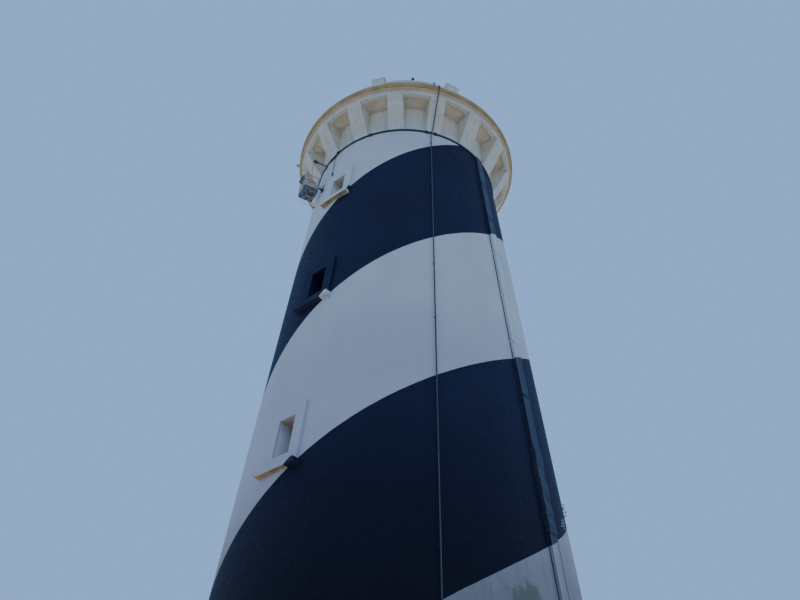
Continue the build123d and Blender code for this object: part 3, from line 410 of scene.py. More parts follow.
def wall_tones(g, place):
    """The white and the navy of the bands, with their streaks, and darker towards the ground: partly dirt,
    partly painted shade of trees.
    """
    z = g.split(place)[2]
    cloud = g.noise(place, 0.45, 5.0, 0.6)
    streak = g.streaks(place, 3.2, 0.16)
    fine_streak = g.streaks(place, 14.0, 0.5, 3.0, 0.6)
    run = g.streaks(place, 5.0, 0.30)
    stain = g.noise(place, 1.7, 5.0, 0.65)
    white = g.blend(g.ramp(cloud, 0.35, 0.65), LIME, LIME_PALE)
    white = g.blend(g.ramp(z, 20.0, 15.0, 0.0, 0.5), white, LIME_LOW)
    white = g.blend(g.mul(g.ramp(streak, 0.55, 0.78), 0.20), white, LIME_STREAK)
    white = g.blend(g.mul(g.ramp(fine_streak, 0.58, 0.8), 0.14), white, LIME_FINE_STREAK)
    # Painted shade with grime: below about 13 m the white darkens, partly dirt and partly the shade of trees.
    grime_and_tree_shade = g.mul(g.ramp(z, 13.5, 7.5), g.ramp(stain, 0.2, 0.6, 0.78, 0.86))
    white = g.blend(grime_and_tree_shade, white, GRIME_AND_TREE_SHADE)
    runs = g.mul(g.ramp(run, 0.50, 0.70), g.ramp(z, 12.5, 8.0))
    white = g.blend(g.mul(runs, 0.35), white, GRIME_RUN)
    navy = g.blend(g.ramp(cloud, 0.35, 0.7), NAVY, NAVY_PALE)
    navy = g.blend(g.mul(g.ramp(streak, 0.58, 0.85), 0.35), navy, NAVY_STREAK)
    navy = g.blend(g.ramp(z, 16.0, 7.0), navy, NAVY_LOW)
    return white, navy, stain


class WallSpot:
    """What the masonry's paint needs to know of a point: its place, its facing, its band and its tones."""

    def __init__(self, g):
        self.place = g.place()
        self.x, self.y, self.z = g.split(self.place)
        self.radius = g.length(self.x, self.y)
        self.facing_up = g.split(g.normal())[2]
        # The radius of the outer face, and 1 from there in to the depth of the reveals
        self.surface = g.math("MAXIMUM", g.sub(BASE_RADIUS, g.mul(self.z, TAPER)), NECK_RADIUS)
        self.outside = g.ramp(self.radius, g.sub(self.surface, REVEAL_DEPTH + 0.03),
                              g.sub(self.surface, REVEAL_DEPTH - 0.01))
        self.dark = g.mul(band_mask(g, self.place), self.outside)
        self.bare = g.sub(1.0, self.dark)
        self.below_deck = g.ramp(self.z, DECK_Z + 0.02, DECK_Z - 0.01)
        self.white, self.navy, self.stain = wall_tones(g, self.place)


def crown_tones(g, spot):
    """The white, with cream on the crown above the neck and, from the parapet up, a greyer white that is
    lighter than the shaft's: painted light.
    """
    cream = g.blend(g.ramp(spot.stain, 0.3, 0.7), CREAM, CREAM_DEEP)
    above_neck = g.ramp(spot.z, NECK_HEIGHT, NECK_HEIGHT + 0.3)
    white = g.blend(g.mul(above_neck, spot.below_deck), spot.white, cream)
    # Painted light: the parapet takes a lighter white.
    return g.blend(g.ramp(spot.z, DECK_Z + 0.30, DECK_Z + 0.50), white, PARAPET_LIT_WHITE)


def niche_stains_and_light(g, spot, paint):
    """Tan on the soffits of the niches, partly a stain and partly painted shade under them, a warm cream on
    their backs that is painted bounce light, and fainter tan by the cheeks.
    """
    share = g.math("FRACT", g.add(g.mul(g.bearing(spot.x, spot.y), NICHES / (2 * math.pi)), 0.5))
    across = g.mul(g.math("ABSOLUTE", g.sub(share, 0.5)), g.mul(spot.radius, 2 * math.pi / NICHES))
    cheek = g.sub(g.mul(spot.radius, math.pi / NICHES), CORBEL_WIDTH / 2)
    off_cheek = g.ramp(g.sub(cheek, across), -0.04, 0.22)
    below_fascia = g.ramp(spot.radius, FASCIA_INNER - 0.01, FASCIA_INNER + 0.01, 1.0, 0.0)
    tan = g.blend(g.ramp(spot.stain, 0.35, 0.65), TAN_STAIN_AND_SHADE, TAN_DEEP_STAIN_AND_SHADE)
    # Painted shade with a stain: tan on the downward faces of the niches.
    soffit_stain_and_shade = g.all_of(g.ramp(spot.facing_up, -0.55, -0.85),
                      g.ramp(spot.radius, NECK_RADIUS - 0.05, NECK_RADIUS + 0.40),
                      off_cheek, below_fascia, g.ramp(spot.z, NECK_HEIGHT, NECK_HEIGHT + 0.5))
    paint = g.blend(g.mul(soffit_stain_and_shade, g.ramp(spot.stain, 0.22, 0.5, 0.55, 0.9)), paint, tan)
    # Painted bounce light on the niches' backs: a warm cream, with tan by the cheeks.
    back = g.all_of(g.ramp(spot.z, SOFFIT_Z - 1.30, SOFFIT_Z - 0.02),
                    g.ramp(spot.facing_up, -0.65, -0.45), below_fascia, spot.below_deck)
    back_light_and_shade = g.blend(off_cheek, tan, NICHE_BOUNCE_LIGHT_CREAM)
    return g.blend(g.mul(back, g.ramp(spot.stain, 0.25, 0.6, 0.30, 0.50)), paint, back_light_and_shade)


def near_heads(g, z):
    """1 in the upper part of the window openings, by height."""
    total = 0.0
    for _, foot, height in WINDOWS:
        head = foot + height
        total = g.add(total, g.mul(g.ramp(z, head - 0.55, head - 0.02), g.ramp(z, head + 0.03, head + 0.01)))
    return total


def reveal_light_shade_and_stains(g, spot, paint):
    """A lighter white in the reveals, which is painted light, with a reddish stain under their heads and
    olive near them, partly a stain and partly painted shade.
    """
    inset = g.ramp(spot.radius, g.sub(spot.surface, 0.005), g.sub(spot.surface, 0.03))
    in_reveal = g.all_of(inset, spot.outside, spot.bare)
    # Painted light: the reveals take a lighter white than the wall.
    lit_reveal = g.blend(g.ramp(spot.z, 21.0, 25.0), REVEAL_LIT_LOW, REVEAL_LIT_HIGH)
    paint = g.blend(g.mul(in_reveal, 0.85), paint, lit_reveal)
    under_head = g.mul(in_reveal, g.ramp(spot.facing_up, -0.55, -0.85))
    head_stain = g.blend(g.ramp(spot.z, 14.0, 24.0), HEAD_STAIN_LOW, HEAD_STAIN_HIGH)
    paint = g.blend(g.mul(under_head, g.ramp(spot.stain, 0.2, 0.5, 0.6, 0.9)), paint, head_stain)
    # Partly a stain, partly painted shade: olive on the jambs just below the heads.
    olive_and_shade = g.all_of(in_reveal, near_heads(g, spot.z), g.ramp(spot.facing_up, -0.5, -0.3))
    return g.blend(g.mul(olive_and_shade, g.ramp(spot.stain, 0.3, 0.6, 0.25, 0.65)), paint, OLIVE_STAIN_AND_SHADE)


def rim_ochre(g, spot, paint):
    """Ochre on the crown's rim band and its underside, and a thin wash in the fillet below it."""
    ochre = g.blend(g.ramp(spot.stain, 0.3, 0.65), OCHRE, OCHRE_DEEP)
    band_low = DECK_Z - RIM_BAND
    rim = g.all_of(g.ramp(spot.radius, RIM_RADIUS - 0.075, RIM_RADIUS - 0.066),
                   g.ramp(spot.z, band_low - 0.01, band_low - 0.002), g.ramp(spot.facing_up, 0.8, 0.5))
    paint = g.blend(g.mul(rim, g.ramp(spot.stain, 0.25, 0.55, 0.8, 1.0)), paint, ochre)
    fillet_low = band_low - FILLET_BAND
    fillet = g.all_of(g.ramp(spot.radius, NECK_RADIUS + 0.92, NECK_RADIUS + 0.99),
                      g.ramp(spot.z, fillet_low + 0.07, fillet_low),
                      g.ramp(spot.z, SOFFIT_Z - 0.14, SOFFIT_Z - 0.11))
    return g.blend(g.mul(fillet, 0.5), paint, ochre)


def band_drips(g, spot, paint):
    """Drips of rust below the neck band."""
    below_band = g.ramp(spot.z, NECK_HEIGHT - 1.1, NECK_HEIGHT - 0.1)
    drips = g.ramp(g.streaks(spot.place, 9.0, 0.25, 4.0, 0.6), 0.56, 0.68)
    return g.blend(g.all_of(below_band, drips, spot.bare, 0.35), paint, RUST_DRIP)


def duct_algae(g, spot, paint):
    """Algae low down beside the duct, with one large patch."""
    near_duct = g.mul(g.ramp(g.math("ABSOLUTE", g.add(spot.y, 1.2)), 1.7, 0.6), g.ramp(spot.x, 0.0, 1.0))
    algae = g.all_of(g.ramp(g.noise(spot.place, 1.1, 6.0, 0.7), 0.50, 0.64), g.ramp(spot.z, 10.5, 6.5),
                     near_duct)
    from_patch = g.length(g.sub(spot.y, PATCH_CENTRE.y), g.sub(spot.x, PATCH_CENTRE.x),
                          g.sub(spot.z, PATCH_CENTRE.z))
    ragged = g.mul(g.noise(spot.place, 2.2, 5.0, 0.7), 1.6)
    algae = g.math("MAXIMUM", algae, g.ramp(g.add(from_patch, ragged), 1.55, 1.15))
    return g.blend(g.all_of(algae, spot.bare, 0.62), paint, ALGAE)


def foot_splashes(g, spot, paint):
    """Splashes of earth at the foot of the wall, fainter on the dark bands."""
    foot = g.mul(g.ramp(spot.z, 1.6, 0.1), g.ramp(spot.stain, 0.3, 0.6))
    return g.blend(g.mul(foot, g.ramp(spot.dark, 0.0, 1.0, 0.7, 0.22)), paint, SPLASH)


def masonry_paint():
    """Lime paint on render: white and dark bands, a cream crown, stains and algae, with painted light and
    shade in places.
    """
    g = Graph("masonry_paint")
    spot = WallSpot(g)
    paint = g.blend(spot.dark, crown_tones(g, spot), spot.navy)
    for layer in (niche_stains_and_light, reveal_light_shade_and_stains, rim_ochre, band_drips, duct_algae, foot_splashes):
        paint = layer(g, spot, paint)
    grain = g.noise(spot.place, 9.0, 4.0, 0.6)
    g.put("Base Color", paint)
    g.put("Specular IOR Level", 0.2)
    g.put("Roughness", g.add(g.mul(spot.dark, -0.12), g.ramp(grain, 0.3, 0.7, 0.72, 0.88)))
    wave = g.bump(g.noise(spot.place, 0.8, 2.0), 0.35, 0.05)
    g.put("Normal", g.bump(grain, 0.35, 0.012, wave))
    return g.material


def sill_paint():
    """The sills take the bands' paint. Where they are bare of it, their undersides are stained tan, with a
    drip groove drawn as a dark line of painted shade.
    """
    g = Graph("sill_paint")
    place = g.place()
    x, y, z = g.split(place)
    facing_up = g.split(g.normal())[2]
    front = g.ramp(y, 1.0, -1.0)
    dark = g.mul(band_mask(g, place), g.sub(1.0, g.mul(front, g.ramp(z, 23.0, 24.0))))
    bare = g.sub(1.0, dark)
    white, navy, stain = wall_tones(g, place)
    paint = g.blend(dark, white, navy)
    tan = g.blend(g.ramp(x, -0.6, 0.4), SILL_TAN_LEFT, SILL_TAN_RIGHT)
    tan = g.blend(g.ramp(z, 22.0, 14.0), tan, SILL_TAN_LOW)
    tan = g.blend(g.ramp(stain, 0.45, 0.65), tan, SILL_STAIN)
    off_wall = g.sub(g.length(x, y), g.sub(BASE_RADIUS, g.mul(z, TAPER)))
    # Painted shade: a dark line where the drip groove runs under the sill.
    groove = g.mul(g.ramp(off_wall, 0.110, 0.120), g.ramp(off_wall, 0.155, 0.145))
    tan = g.blend(g.mul(groove, 0.85), tan, SILL_GROOVE_SHADE)
    under = g.mul(g.ramp(facing_up, -0.55, -0.85), bare)
    third_window = g.all_of(front, g.ramp(z, 17.0, 18.0), g.ramp(z, 23.0, 22.0))
    paint = g.blend(g.mul(under, g.sub(0.92, g.mul(third_window, 0.85))), paint, tan)
    rust = g.all_of(g.ramp(g.noise(place, 6.0, 4.0, 0.6), 0.50, 0.60), g.ramp(x, 0.45, 0.6), bare,
                    g.ramp(facing_up, -0.1, -0.4))
    g.put("Base Color", g.blend(g.mul(rust, 0.7), paint, SILL_RUST))
    g.put("Roughness", g.ramp(stain, 0.3, 0.7, 0.7, 0.9))
    g.put("Normal", g.bump(g.noise(place, 9.0, 4.0, 0.6), 0.35, 0.012))
    return g.material


def duct_paint():
    """The duct is painted with the wall. On the dark bands its front face takes a lighter blue than its
    sides, a painted sheen.
    """
    g = Graph("duct_paint")
    place = g.place()
    _, y, z = g.split(place)
    off_middle = g.math("ABSOLUTE", y)
    white, navy, stain = wall_tones(g, place)
    front_sheen = g.blend(g.ramp(stain, 0.35, 0.65), DUCT_FRONT_SHEEN, DUCT_FRONT_SHEEN_PALE)
    # Painted sheen: the front face is a lighter blue than the sides on the dark bands.
    navy = g.blend(g.mul(g.ramp(off_middle, 0.188, 0.180), 0.75), navy, front_sheen)
    paint = g.blend(band_mask(g, place), white, navy)
    rust = g.all_of(g.ramp(g.streaks(place, 6.0, 0.7), 0.56, 0.68), g.ramp(off_middle, 0.10, 0.18),
                    g.ramp(z, 12.0, 9.0, 0.25, 0.8))
    g.put("Base Color", g.blend(rust, paint, CASING_RUST))
    g.put("Roughness", g.ramp(stain, 0.3, 0.7, 0.42, 0.62))
    g.put("Normal", g.bump(g.noise(place, 3.0, 3.0), 0.4, 0.012))
    return g.material


def duct_bead_highlight():
    """The duct's corner beads: pale blue on the dark bands, a painted highlight on the corners, white
    elsewhere, and dark low at the right.
    """
    g = Graph("duct_bead_highlight")
    place = g.place()
    _, y, z = g.split(place)
    # Painted highlight: pale blue on the corner beads where they cross the dark bands.
    highlight = g.blend(g.noise(place, 2.0, 4.0), BEAD_HIGHLIGHT_BLUE, BEAD_HIGHLIGHT_PALE)
    low_right = g.mul(g.ramp(y, -0.01, 0.01), g.ramp(z, 13.0, 12.0))
    bare = g.blend(low_right, BEAD_WHITE, BEAD_DARK)
    g.put("Base Color", g.blend(band_mask(g, place), bare, highlight))
    g.put("Roughness", 0.5)
    return g.material


def conductor_wire():
    """The conductor is dark with rust, and takes a grey painted sheen where it crosses the dark bands."""
    g = Graph("conductor_wire")
    place = g.place()
    patch = g.noise(place, 2.0, 5.0, 0.65)
    bare = g.blend(g.ramp(patch, 0.42, 0.60), WIRE_DARK, WIRE_RUST)
    # Painted sheen: grey on the conductor over the dark bands.
    g.put("Base Color", g.blend(band_mask(g, place), bare, WIRE_SHEEN_GREY))
    g.put("Roughness", 0.6)
    return g.material


def by_height(name, low, high, level):
    """One paint below a level and another above it, with spots of rust."""
    g = Graph(name)
    place = g.place()
    patch = g.noise(place, 6.0, 5.0, 0.65)
    tone = g.blend(g.ramp(g.split(place)[2], level - 0.005, level + 0.005), low, high)
    g.put("Base Color", g.blend(g.ramp(patch, 0.60, 0.68), tone, SPOT_RUST))
    g.put("Roughness", g.ramp(patch, 0.4, 0.7, 0.45, 0.75))
    return g.material


def darker(colour, share):
    """A colour scaled down."""
    return tuple(part * share for part in colour[:3]) + (1,)


def worn_paint(name, colour, worn, share, roughness, scale=2.0):
    """Paint on metal or wood, or a cable's sheath, with worn patches of another colour."""
    g = Graph(name)
    place = g.place()
    patch = g.noise(place, scale, 6.0, 0.7)
    grain = g.noise(place, scale * 14, 3.0)
    tone = g.blend(g.mul(g.ramp(grain, 0.3, 0.7), 0.25), colour, darker(colour, 0.8))
    g.put("Base Color", g.blend(g.ramp(patch, 0.66 - share, 0.70 - share), tone, worn))
    g.put("Roughness", g.ramp(patch, 0.4, 0.7, roughness, min(1.0, roughness + 0.3)))
    g.put("Normal", g.bump(grain, 0.3, 0.002))
    return g.material


def galvanised_steel():
    """Dull galvanised steel with rust in patches."""
    g = Graph("galvanised_steel")
    zinc = (0.30, 0.30, 0.29, 1)
    place = g.place()
    patch = g.noise(place, 5.0, 6.0, 0.7)
    spangle = g.noise(place, 40.0, 2.0)
    tone = g.blend(g.ramp(spangle, 0.35, 0.65), zinc, darker(zinc, 0.7))
    rusty = g.ramp(patch, 0.57, 0.67)
    g.put("Base Color", g.blend(rusty, tone, STEEL_RUST))
    g.put("Metallic", g.mul(g.sub(1.0, rusty), 0.7))
    g.put("Roughness", g.ramp(patch, 0.3, 0.7, 0.42, 0.85))
    g.put("Normal", g.bump(patch, 0.2, 0.003))
    return g.material


def clear_glass():
    """Clear panes with a little dust."""
    g = Graph("window_pane_glass")
    dust = g.noise(g.place(), 3.0, 4.0)
    g.put("Base Color", g.blend(dust, (0.80, 0.88, 0.90, 1), (0.70, 0.78, 0.78, 1)))
    g.put("Roughness", g.ramp(dust, 0.35, 0.75, 0.03, 0.22))
    g.put("Transmission Weight", 0.85)
    g.put("IOR", 1.45)
    return g.material


def screed():
    """Worn cement screed with cloudy stains."""
    g = Graph("floor_screed")
    place = g.place()
    cloud = g.noise(place, 0.8, 6.0, 0.65)
    grain = g.noise(place, 22.0, 3.0)
    g.put("Base Color", g.blend(g.ramp(cloud, 0.35, 0.65), (0.30, 0.285, 0.26, 1), (0.42, 0.40, 0.365, 1)))
    g.put("Roughness", g.ramp(grain, 0.3, 0.7, 0.7, 0.95))
    g.put("Normal", g.bump(grain, 0.4, 0.004))
    return g.material


# Worn paints: name, colour, colour of the worn patches, their share, roughness and scale
WORN_PAINTS = {
    "joinery": ("joinery_paint", (0.055, 0.065, 0.075, 1), (0.16, 0.13, 0.10, 1), 0.02, 0.45, 3.0),
    "lantern_steel": ("lantern_paint", (0.72, 0.72, 0.70, 1), (0.22, 0.10, 0.05, 1), 0.01, 0.35),
    "roof_metal": ("roof_paint", (0.030, 0.036, 0.042, 1), (0.10, 0.07, 0.05, 1), 0.03, 0.4, 1.2),
    "cable_sheath": ("cable_sheath", (0.025, 0.025, 0.027, 1), (0.09, 0.09, 0.09, 1), 0.02, 0.55, 8.0),
    "pale_sheath": ("pale_sheath", (0.55, 0.55, 0.52, 1), (0.30, 0.29, 0.27, 1), 0.02, 0.55, 8.0),
    "dark_steel": ("dark_steel", (0.022, 0.024, 0.028, 1), (0.10, 0.060, 0.040, 1), 0.04, 0.6, 4.0),
    # The duct's joint beads: partly a sealed joint, partly painted shade where the duct meets the wall
    "duct_joint_shade": ("duct_joint_shade", (0.018, 0.015, 0.014, 1), (0.13, 0.065, 0.035, 1), 0.05, 0.7, 1.0),
    "cradle_floor": ("cradle_floor", (0.20, 0.21, 0.24, 1), (0.030, 0.033, 0.042, 1), 0.17, 0.6, 7.0),
    "davit": ("davit_paint", (0.090, 0.100, 0.105, 1), (0.10, 0.060, 0.040, 1), 0.04, 0.6, 4.0),
}

# The nodes whose paint isn't that of their record's slot
OWN_PAINT = {"window_sills": "window_sills", "conductor": "conductor", "cradle_frame": "cradle_frame",
             "lamps": "lamps", "neck_band": "dark_steel", "davit": "davit", "davit_sheave": "dark_steel",
             "hoist_rope": "cable_sheath", "cradle_floor": "cradle_floor", "cradle_brackets": "dark_steel",
             "sling_hook": "dark_steel"}


def make_materials():
    """Every material, by the name of the record's slot or of the piece that takes it."""
    materials = {
        "rendered_masonry": masonry_paint(),
        "floor_screed": screed(),
        "glass": clear_glass(),
        "galvanised_steel": galvanised_steel(),
        "painted_casing": duct_paint(),
        "duct_bead_highlight": duct_bead_highlight(),
        "window_sills": sill_paint(),
        "conductor": conductor_wire(),
        "cradle_frame": by_height("cradle_paint", (0.090, 0.095, 0.110, 1), (0.30, 0.32, 0.36, 1),
                                  CRADLE_Z + 0.15),
        "lamps": by_height("lamp_paint", (0.30, 0.34, 0.42, 1), (0.06, 0.055, 0.06, 1), TERRACE_Z),
    }
    for key, paint in WORN_PAINTS.items():
        materials[key] = worn_paint(*paint)
    return materials


# Shapes

class Shape:
    """Collects simple solids in one mesh, which becomes one piece."""

    def __init__(self):
        self.mesh = bmesh.new()

    def block(self, low, high, turn=None):
        """A box between two corners, turned about the tower's axis."""
        middle = (Vector(low) + Vector(high)) / 2
        size = Vector(high) - Vector(low)
        matrix = Matrix.Translation(middle) @ Matrix.Diagonal((*size, 1))
        if turn is not None:
            matrix = turn @ matrix
        bmesh.ops.create_cube(self.mesh, size=1.0, matrix=matrix)

    def bar(self, start, end, radius, sides=8):
        """A round bar between two points."""
        start, end = Vector(start), Vector(end)
        along = end - start
        turn = along.to_track_quat("Z", "Y").to_matrix().to_4x4()
        matrix = Matrix.Translation((start + end) / 2) @ turn
        bmesh.ops.create_cone(self.mesh, cap_ends=True, segments=sides, radius1=radius, radius2=radius,
                              depth=along.length, matrix=matrix)

    def chain(self, points, radius):
        """Six-sided bars from each point to the next."""
        for start, end in zip(points, points[1:]):
            self.bar(start, end, radius, 6)

    def piece(self, name, material, bevel=0.0, smooth=True):
        """Turns the mesh into a named piece that rides on the tower."""
        bmesh.ops.remove_doubles(self.mesh, verts=self.mesh.verts, dist=1e-5)
        bmesh.ops.recalc_face_normals(self.mesh, faces=self.mesh.faces)
        data = bpy.data.meshes.new(name)
        self.mesh.to_mesh(data)
        self.mesh.free()
        data.materials.append(material)
        thing = bpy.data.objects.new(name, data)
        bpy.context.scene.collection.objects.link(thing)
        if bevel:
            soften(thing, bevel)
        if smooth:
            data.set_sharp_from_angle(angle=math.radians(35))
        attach(thing, "root")


def soften(thing, width):
    """Rounds the sharp edges a little, as paint and wear do."""
    weld = thing.modifiers.new("weld", "WELD")
    weld.merge_threshold = 0.0005
    round_edges = thing.modifiers.new("round", "BEVEL")
    round_edges.width = width
    round_edges.segments = 2
    round_edges.limit_method = "ANGLE"
    round_edges.angle_limit = math.radians(40)
    round_edges.harden_normals = True
    thing.modifiers.new("even", "WEIGHTED_NORMAL").keep_sharp = True


def dress_nodes(materials):
    """Gives each CAD node its material, and rounds the edges of the separate solids."""
    for entry in frame["record"]["subparts"]:
        name = entry["node"]
        thing = nodes[name]
        thing.data.materials.clear()
        thing.data.materials.append(materials[OWN_PAINT.get(name, entry["material_slot"])])
    for name, width in (("parapet_pedestals", 0.012), ("window_sills", 0.012), ("window_frames", 0.006),
                        ("door_frame", 0.008), ("door_leaf", 0.006), ("room_door", 0.006), ("davit", 0.004),
                        ("cradle_frame", 0.003), ("lantern_posts", 0.005), ("lantern_plinth", 0.008),
                        ("lamps", 0.008), ("duct", 0.010)):
        soften(nodes[name], width)


# Windows

def make_window_bars(materials):
    """Casement stiles, rails and glazing bars in each window."""
    bars = Shape()
    half = WINDOW_WIDTH / 2 + REBATE - FRAME_FACE
    stile = 0.045
    thick = 0.016
    bar_thick = 0.8 * thick
    bar_half = 0.011
    for bearing, foot, height in WINDOWS:
        turn = facing(bearing)
        middle = shaft_radius(foot + height / 2) - REVEAL_DEPTH - FRAME_DEPTH / 2
        low = foot + FRAME_FACE
        high = foot + height + REBATE - FRAME_FACE
        for side in (-1, 1):
            inner, outer = sorted((0.0, side * half))
            for left in (inner, outer - stile):
                bars.block((left, -middle - thick, low), (left + stile, -middle + thick, high), turn)
            for level in (low, high - stile):
                bars.block((inner, -middle - thick, level), (outer, -middle + thick, level + stile), turn)
            for third in (1, 2):
                level = low + (high - low) * third / 3
                bars.block((inner, -middle - bar_thick, level - bar_half),
                           (outer, -middle + bar_thick, level + bar_half), turn)
    bars.piece("window_bars", materials["joinery"], bevel=0.003)


# Duct

def make_duct_trim(materials):
    """Dark beads along the duct's edges, partly a sealed joint and partly painted shade where it meets the
    wall, and its corner beads, which carry a painted highlight.
    """
    levels = (0.05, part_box("duct")[1].z - 0.02)
    shift = 0.004
    joint_beads_and_shade = Shape()
    highlight_beads = Shape()
    for side in (-1, 1):
        # Partly a sealed joint, partly painted shade: a dark bead where the duct meets the wall.
        edge = side * (DUCT_HALF + shift)
        foot, head = (Vector((math.sqrt(shaft_radius(z) ** 2 - DUCT_HALF ** 2), edge, z)) for z in levels)
        joint_beads_and_shade.bar(foot, head, 0.022, 6)
        # Painted highlight: beads on the duct's outer corners.
        edge = side * (DUCT_HALF - shift)
        foot, head = (Vector((shaft_radius(z) + DUCT_PROUD - shift, edge, z)) for z in levels)
        highlight_beads.bar(foot, head, 0.012, 6)
    joint_beads_and_shade.piece("duct_joints", materials["duct_joint_shade"])
    highlight_beads.piece("duct_beads", materials["duct_bead_highlight"])


def make_duct_straps(materials):
    """Straps round the duct, each with an ear and a bolt at both sides."""
    straps = Shape()
    lowest, pitch, count = 1.2, 2.35, 12
    height = 0.06
    gauge = 0.012
    sunk = 0.03
    ear = 0.075
    for step in range(count):
        level = lowest + pitch * step
        top = level + height
        face = shaft_radius(level) + DUCT_PROUD
        wall = face - DUCT_PROUD
        straps.block((face - 0.01, -DUCT_HALF - gauge, level), (face + gauge, DUCT_HALF + gauge, top))
        for side in (-1, 1):
            inner, outer = sorted((side * (DUCT_HALF - 0.002), side * (DUCT_HALF + gauge)))
            straps.block((wall - sunk, inner, level), (face + gauge, outer, top))
            inner, outer = sorted((side * (DUCT_HALF + gauge), side * (DUCT_HALF + ear)))
            straps.block((wall - sunk, inner, level), (wall + gauge, outer, top))
            bolt = side * (DUCT_HALF + 0.045)
            start, end = ((wall + out, bolt, level + height / 2) for out in (0.0, 0.03))
            straps.bar(start, end, 0.014, 6)
    straps.piece("duct_straps", materials["painted_casing"], bevel=0.003)


def divided(corners, spacing):
    """The corners of a line, with points about evenly spaced between them."""
    line = [corners[0]]
    for (x0, y0), (x1, y1) in zip(corners, corners[1:]):
        count = max(2, round(math.hypot(x1 - x0, y1 - y0) / spacing))
        line += [(x0 + (x1 - x0) * i / count, y0 + (y1 - y0) * i / count) for i in range(1, count + 1)]
    return line


def wrap_crease(across, height):
    """How far the duct's wrapping stands out at a point: long folds, fine folds and a little chance."""
    sway = 1.6 * math.sin(height * 2.3)
    long_fold = math.sin(height * 8.5 + across * 3.0 + sway) * 0.013
    fine_fold = math.sin(height * 31.0 - across * 9.0 + 2.0 * sway) * 0.004
    return long_fold + fine_fold + random.uniform(-0.004, 0.004)


def make_duct_wrap(materials):
    """The creased wrapping on the lower part of the duct."""
    sunk = -0.03
    loose = 0.022
    spread = 0.040
    edge_crease = -0.012
    front = DUCT_PROUD + 0.026
    section = divided([(-DUCT_HALF - spread, sunk), (-DUCT_HALF - loose, front),
                       (DUCT_HALF + loose, front), (DUCT_HALF + spread, sunk)], 0.035)
    wrap = Shape()
    rows = []
    steps = 84
    for step in range(steps + 1):
        height = WRAP_LOW + (WRAP_HIGH - WRAP_LOW) * step / steps
        row = []
        for place, (across, out) in enumerate(section):
            crease = wrap_crease(across, height)
            if step in (0, steps) or place in (0, len(section) - 1):
                crease = edge_crease
            corner = (shaft_radius(height) + out + crease, across * (1 + crease), height)
            row.append(wrap.mesh.verts.new(corner))
        rows.append(row)
    for low_row, high_row in zip(rows, rows[1:]):
        for i in range(len(section) - 1):
            wrap.mesh.faces.new((low_row[i], low_row[i + 1], high_row[i + 1], high_row[i]))
    wrap.piece("duct_wrap", materials["painted_casing"])


def make_duct_ties(materials):
    """The thin ties round the wrapping, each a little askew."""
    ties = Shape()
    for level in (WRAP_LOW + 0.08, WRAP_LOW + 0.34, WRAP_LOW + 0.62, WRAP_LOW + 1.5, WRAP_HIGH - 0.10):
        face = shaft_radius(level) + DUCT_PROUD + 0.040
        wall = shaft_radius(level) - 0.02
        at_wall = DUCT_HALF + 0.05
        at_face = DUCT_HALF + 0.028
        ties.chain([Vector((wall, -at_wall, level - 0.05)), Vector((face, -at_face, level - 0.02)),
                    Vector((face, at_face, level + 0.03)), Vector((wall, at_wall, level + 0.05))], 0.006)
    ties.piece("duct_ties", materials["duct_bead_highlight"])


def make_wall_coil(materials):
    """A dark zigzag coil of wire, fixed to the wall beyond the duct."""
    coil = Shape()
    low = WRAP_LOW + 1.46
    rise = 0.048
    outs = (-0.006, 0.10)
    bends = []
    for index in range(11):
        level = low + rise * index
        bearing = 111.5 + 0.9 * (index % 3)
        bends.append(polar(bearing, shaft_radius(level) + outs[index % 2], level))
    coil.chain(bends, 0.008)
    coil.piece("wall_coil", materials["cable_sheath"])


def make_wall_wire_ends(materials):
    """Three pale ends of wire that fan out on the wall beyond the duct."""
    ends = Shape()
    for index in range(3):
        level = WRAP_LOW + 0.70 + 0.13 * index
        bends = ((100.8 + 0.9 * index, level), (103.4 + 0.8 * index, level + 0.13),
                 (105.8 + 0.5 * index, level + 0.09))
        ends.chain([polar(bearing, shaft_radius(height) + 0.004, height) for bearing, height in bends], 0.009)
    ends.piece("wall_wire_ends", materials["pale_sheath"])


# Neck band and cradle

def make_band_bolts(materials):
    """Hexagon bolts on the clamps of the neck band, and one stud on the cornice."""
    bolts = Shape()
    level = NECK_HEIGHT - 0.075
    face = NECK_RADIUS + BAND_CLAMP_PROUD
    for bearing in BAND_CLAMPS:
        for side in (-1, 1):
            turn = bearing + math.degrees(side * 0.035 / face)
            bolts.bar(polar(turn, face - 0.004, level), polar(turn, face + 0.020, level), 0.014, 6)
    nose = FASCIA_INNER + FASCIA_WIDTH
    stud_bearing = 90.5
    stud_level = SOFFIT_Z - 0.05
    start, end = (polar(stud_bearing, nose + out, stud_level) for out in (-0.03, 0.05))
    bolts.bar(start, end, 0.022, 6)
    bolts.piece("band_bolts", materials["dark_steel"], smooth=False)


def make_band_tie_rods(materials):
    """The two bent tie rods just below the neck band, beside the sling, with their ends in the wall."""
    rods = Shape()
    first_bearing, bearing_step = -13.8, 1.05
    drop = 0.165
    spacing = 0.055
    zigzag = (0.0, 0.050)
    for row in range(2):
        bends = []
        for index in range(7):
            level = NECK_HEIGHT - (drop + spacing * row + zigzag[index % 2])
            bends.append(polar(first_bearing + bearing_step * index, shaft_radius(level) + 0.022, level))
        rods.chain(bends, 0.011)
        for stop in (bends[0], bends[-1]):
            bearing = math.degrees(math.atan2(stop.x, -stop.y))
            rods.bar(stop, polar(bearing, NECK_RADIUS - 0.01, stop.z), 0.012, 6)
    rods.piece("band_tie_rods", materials["dark_steel"])


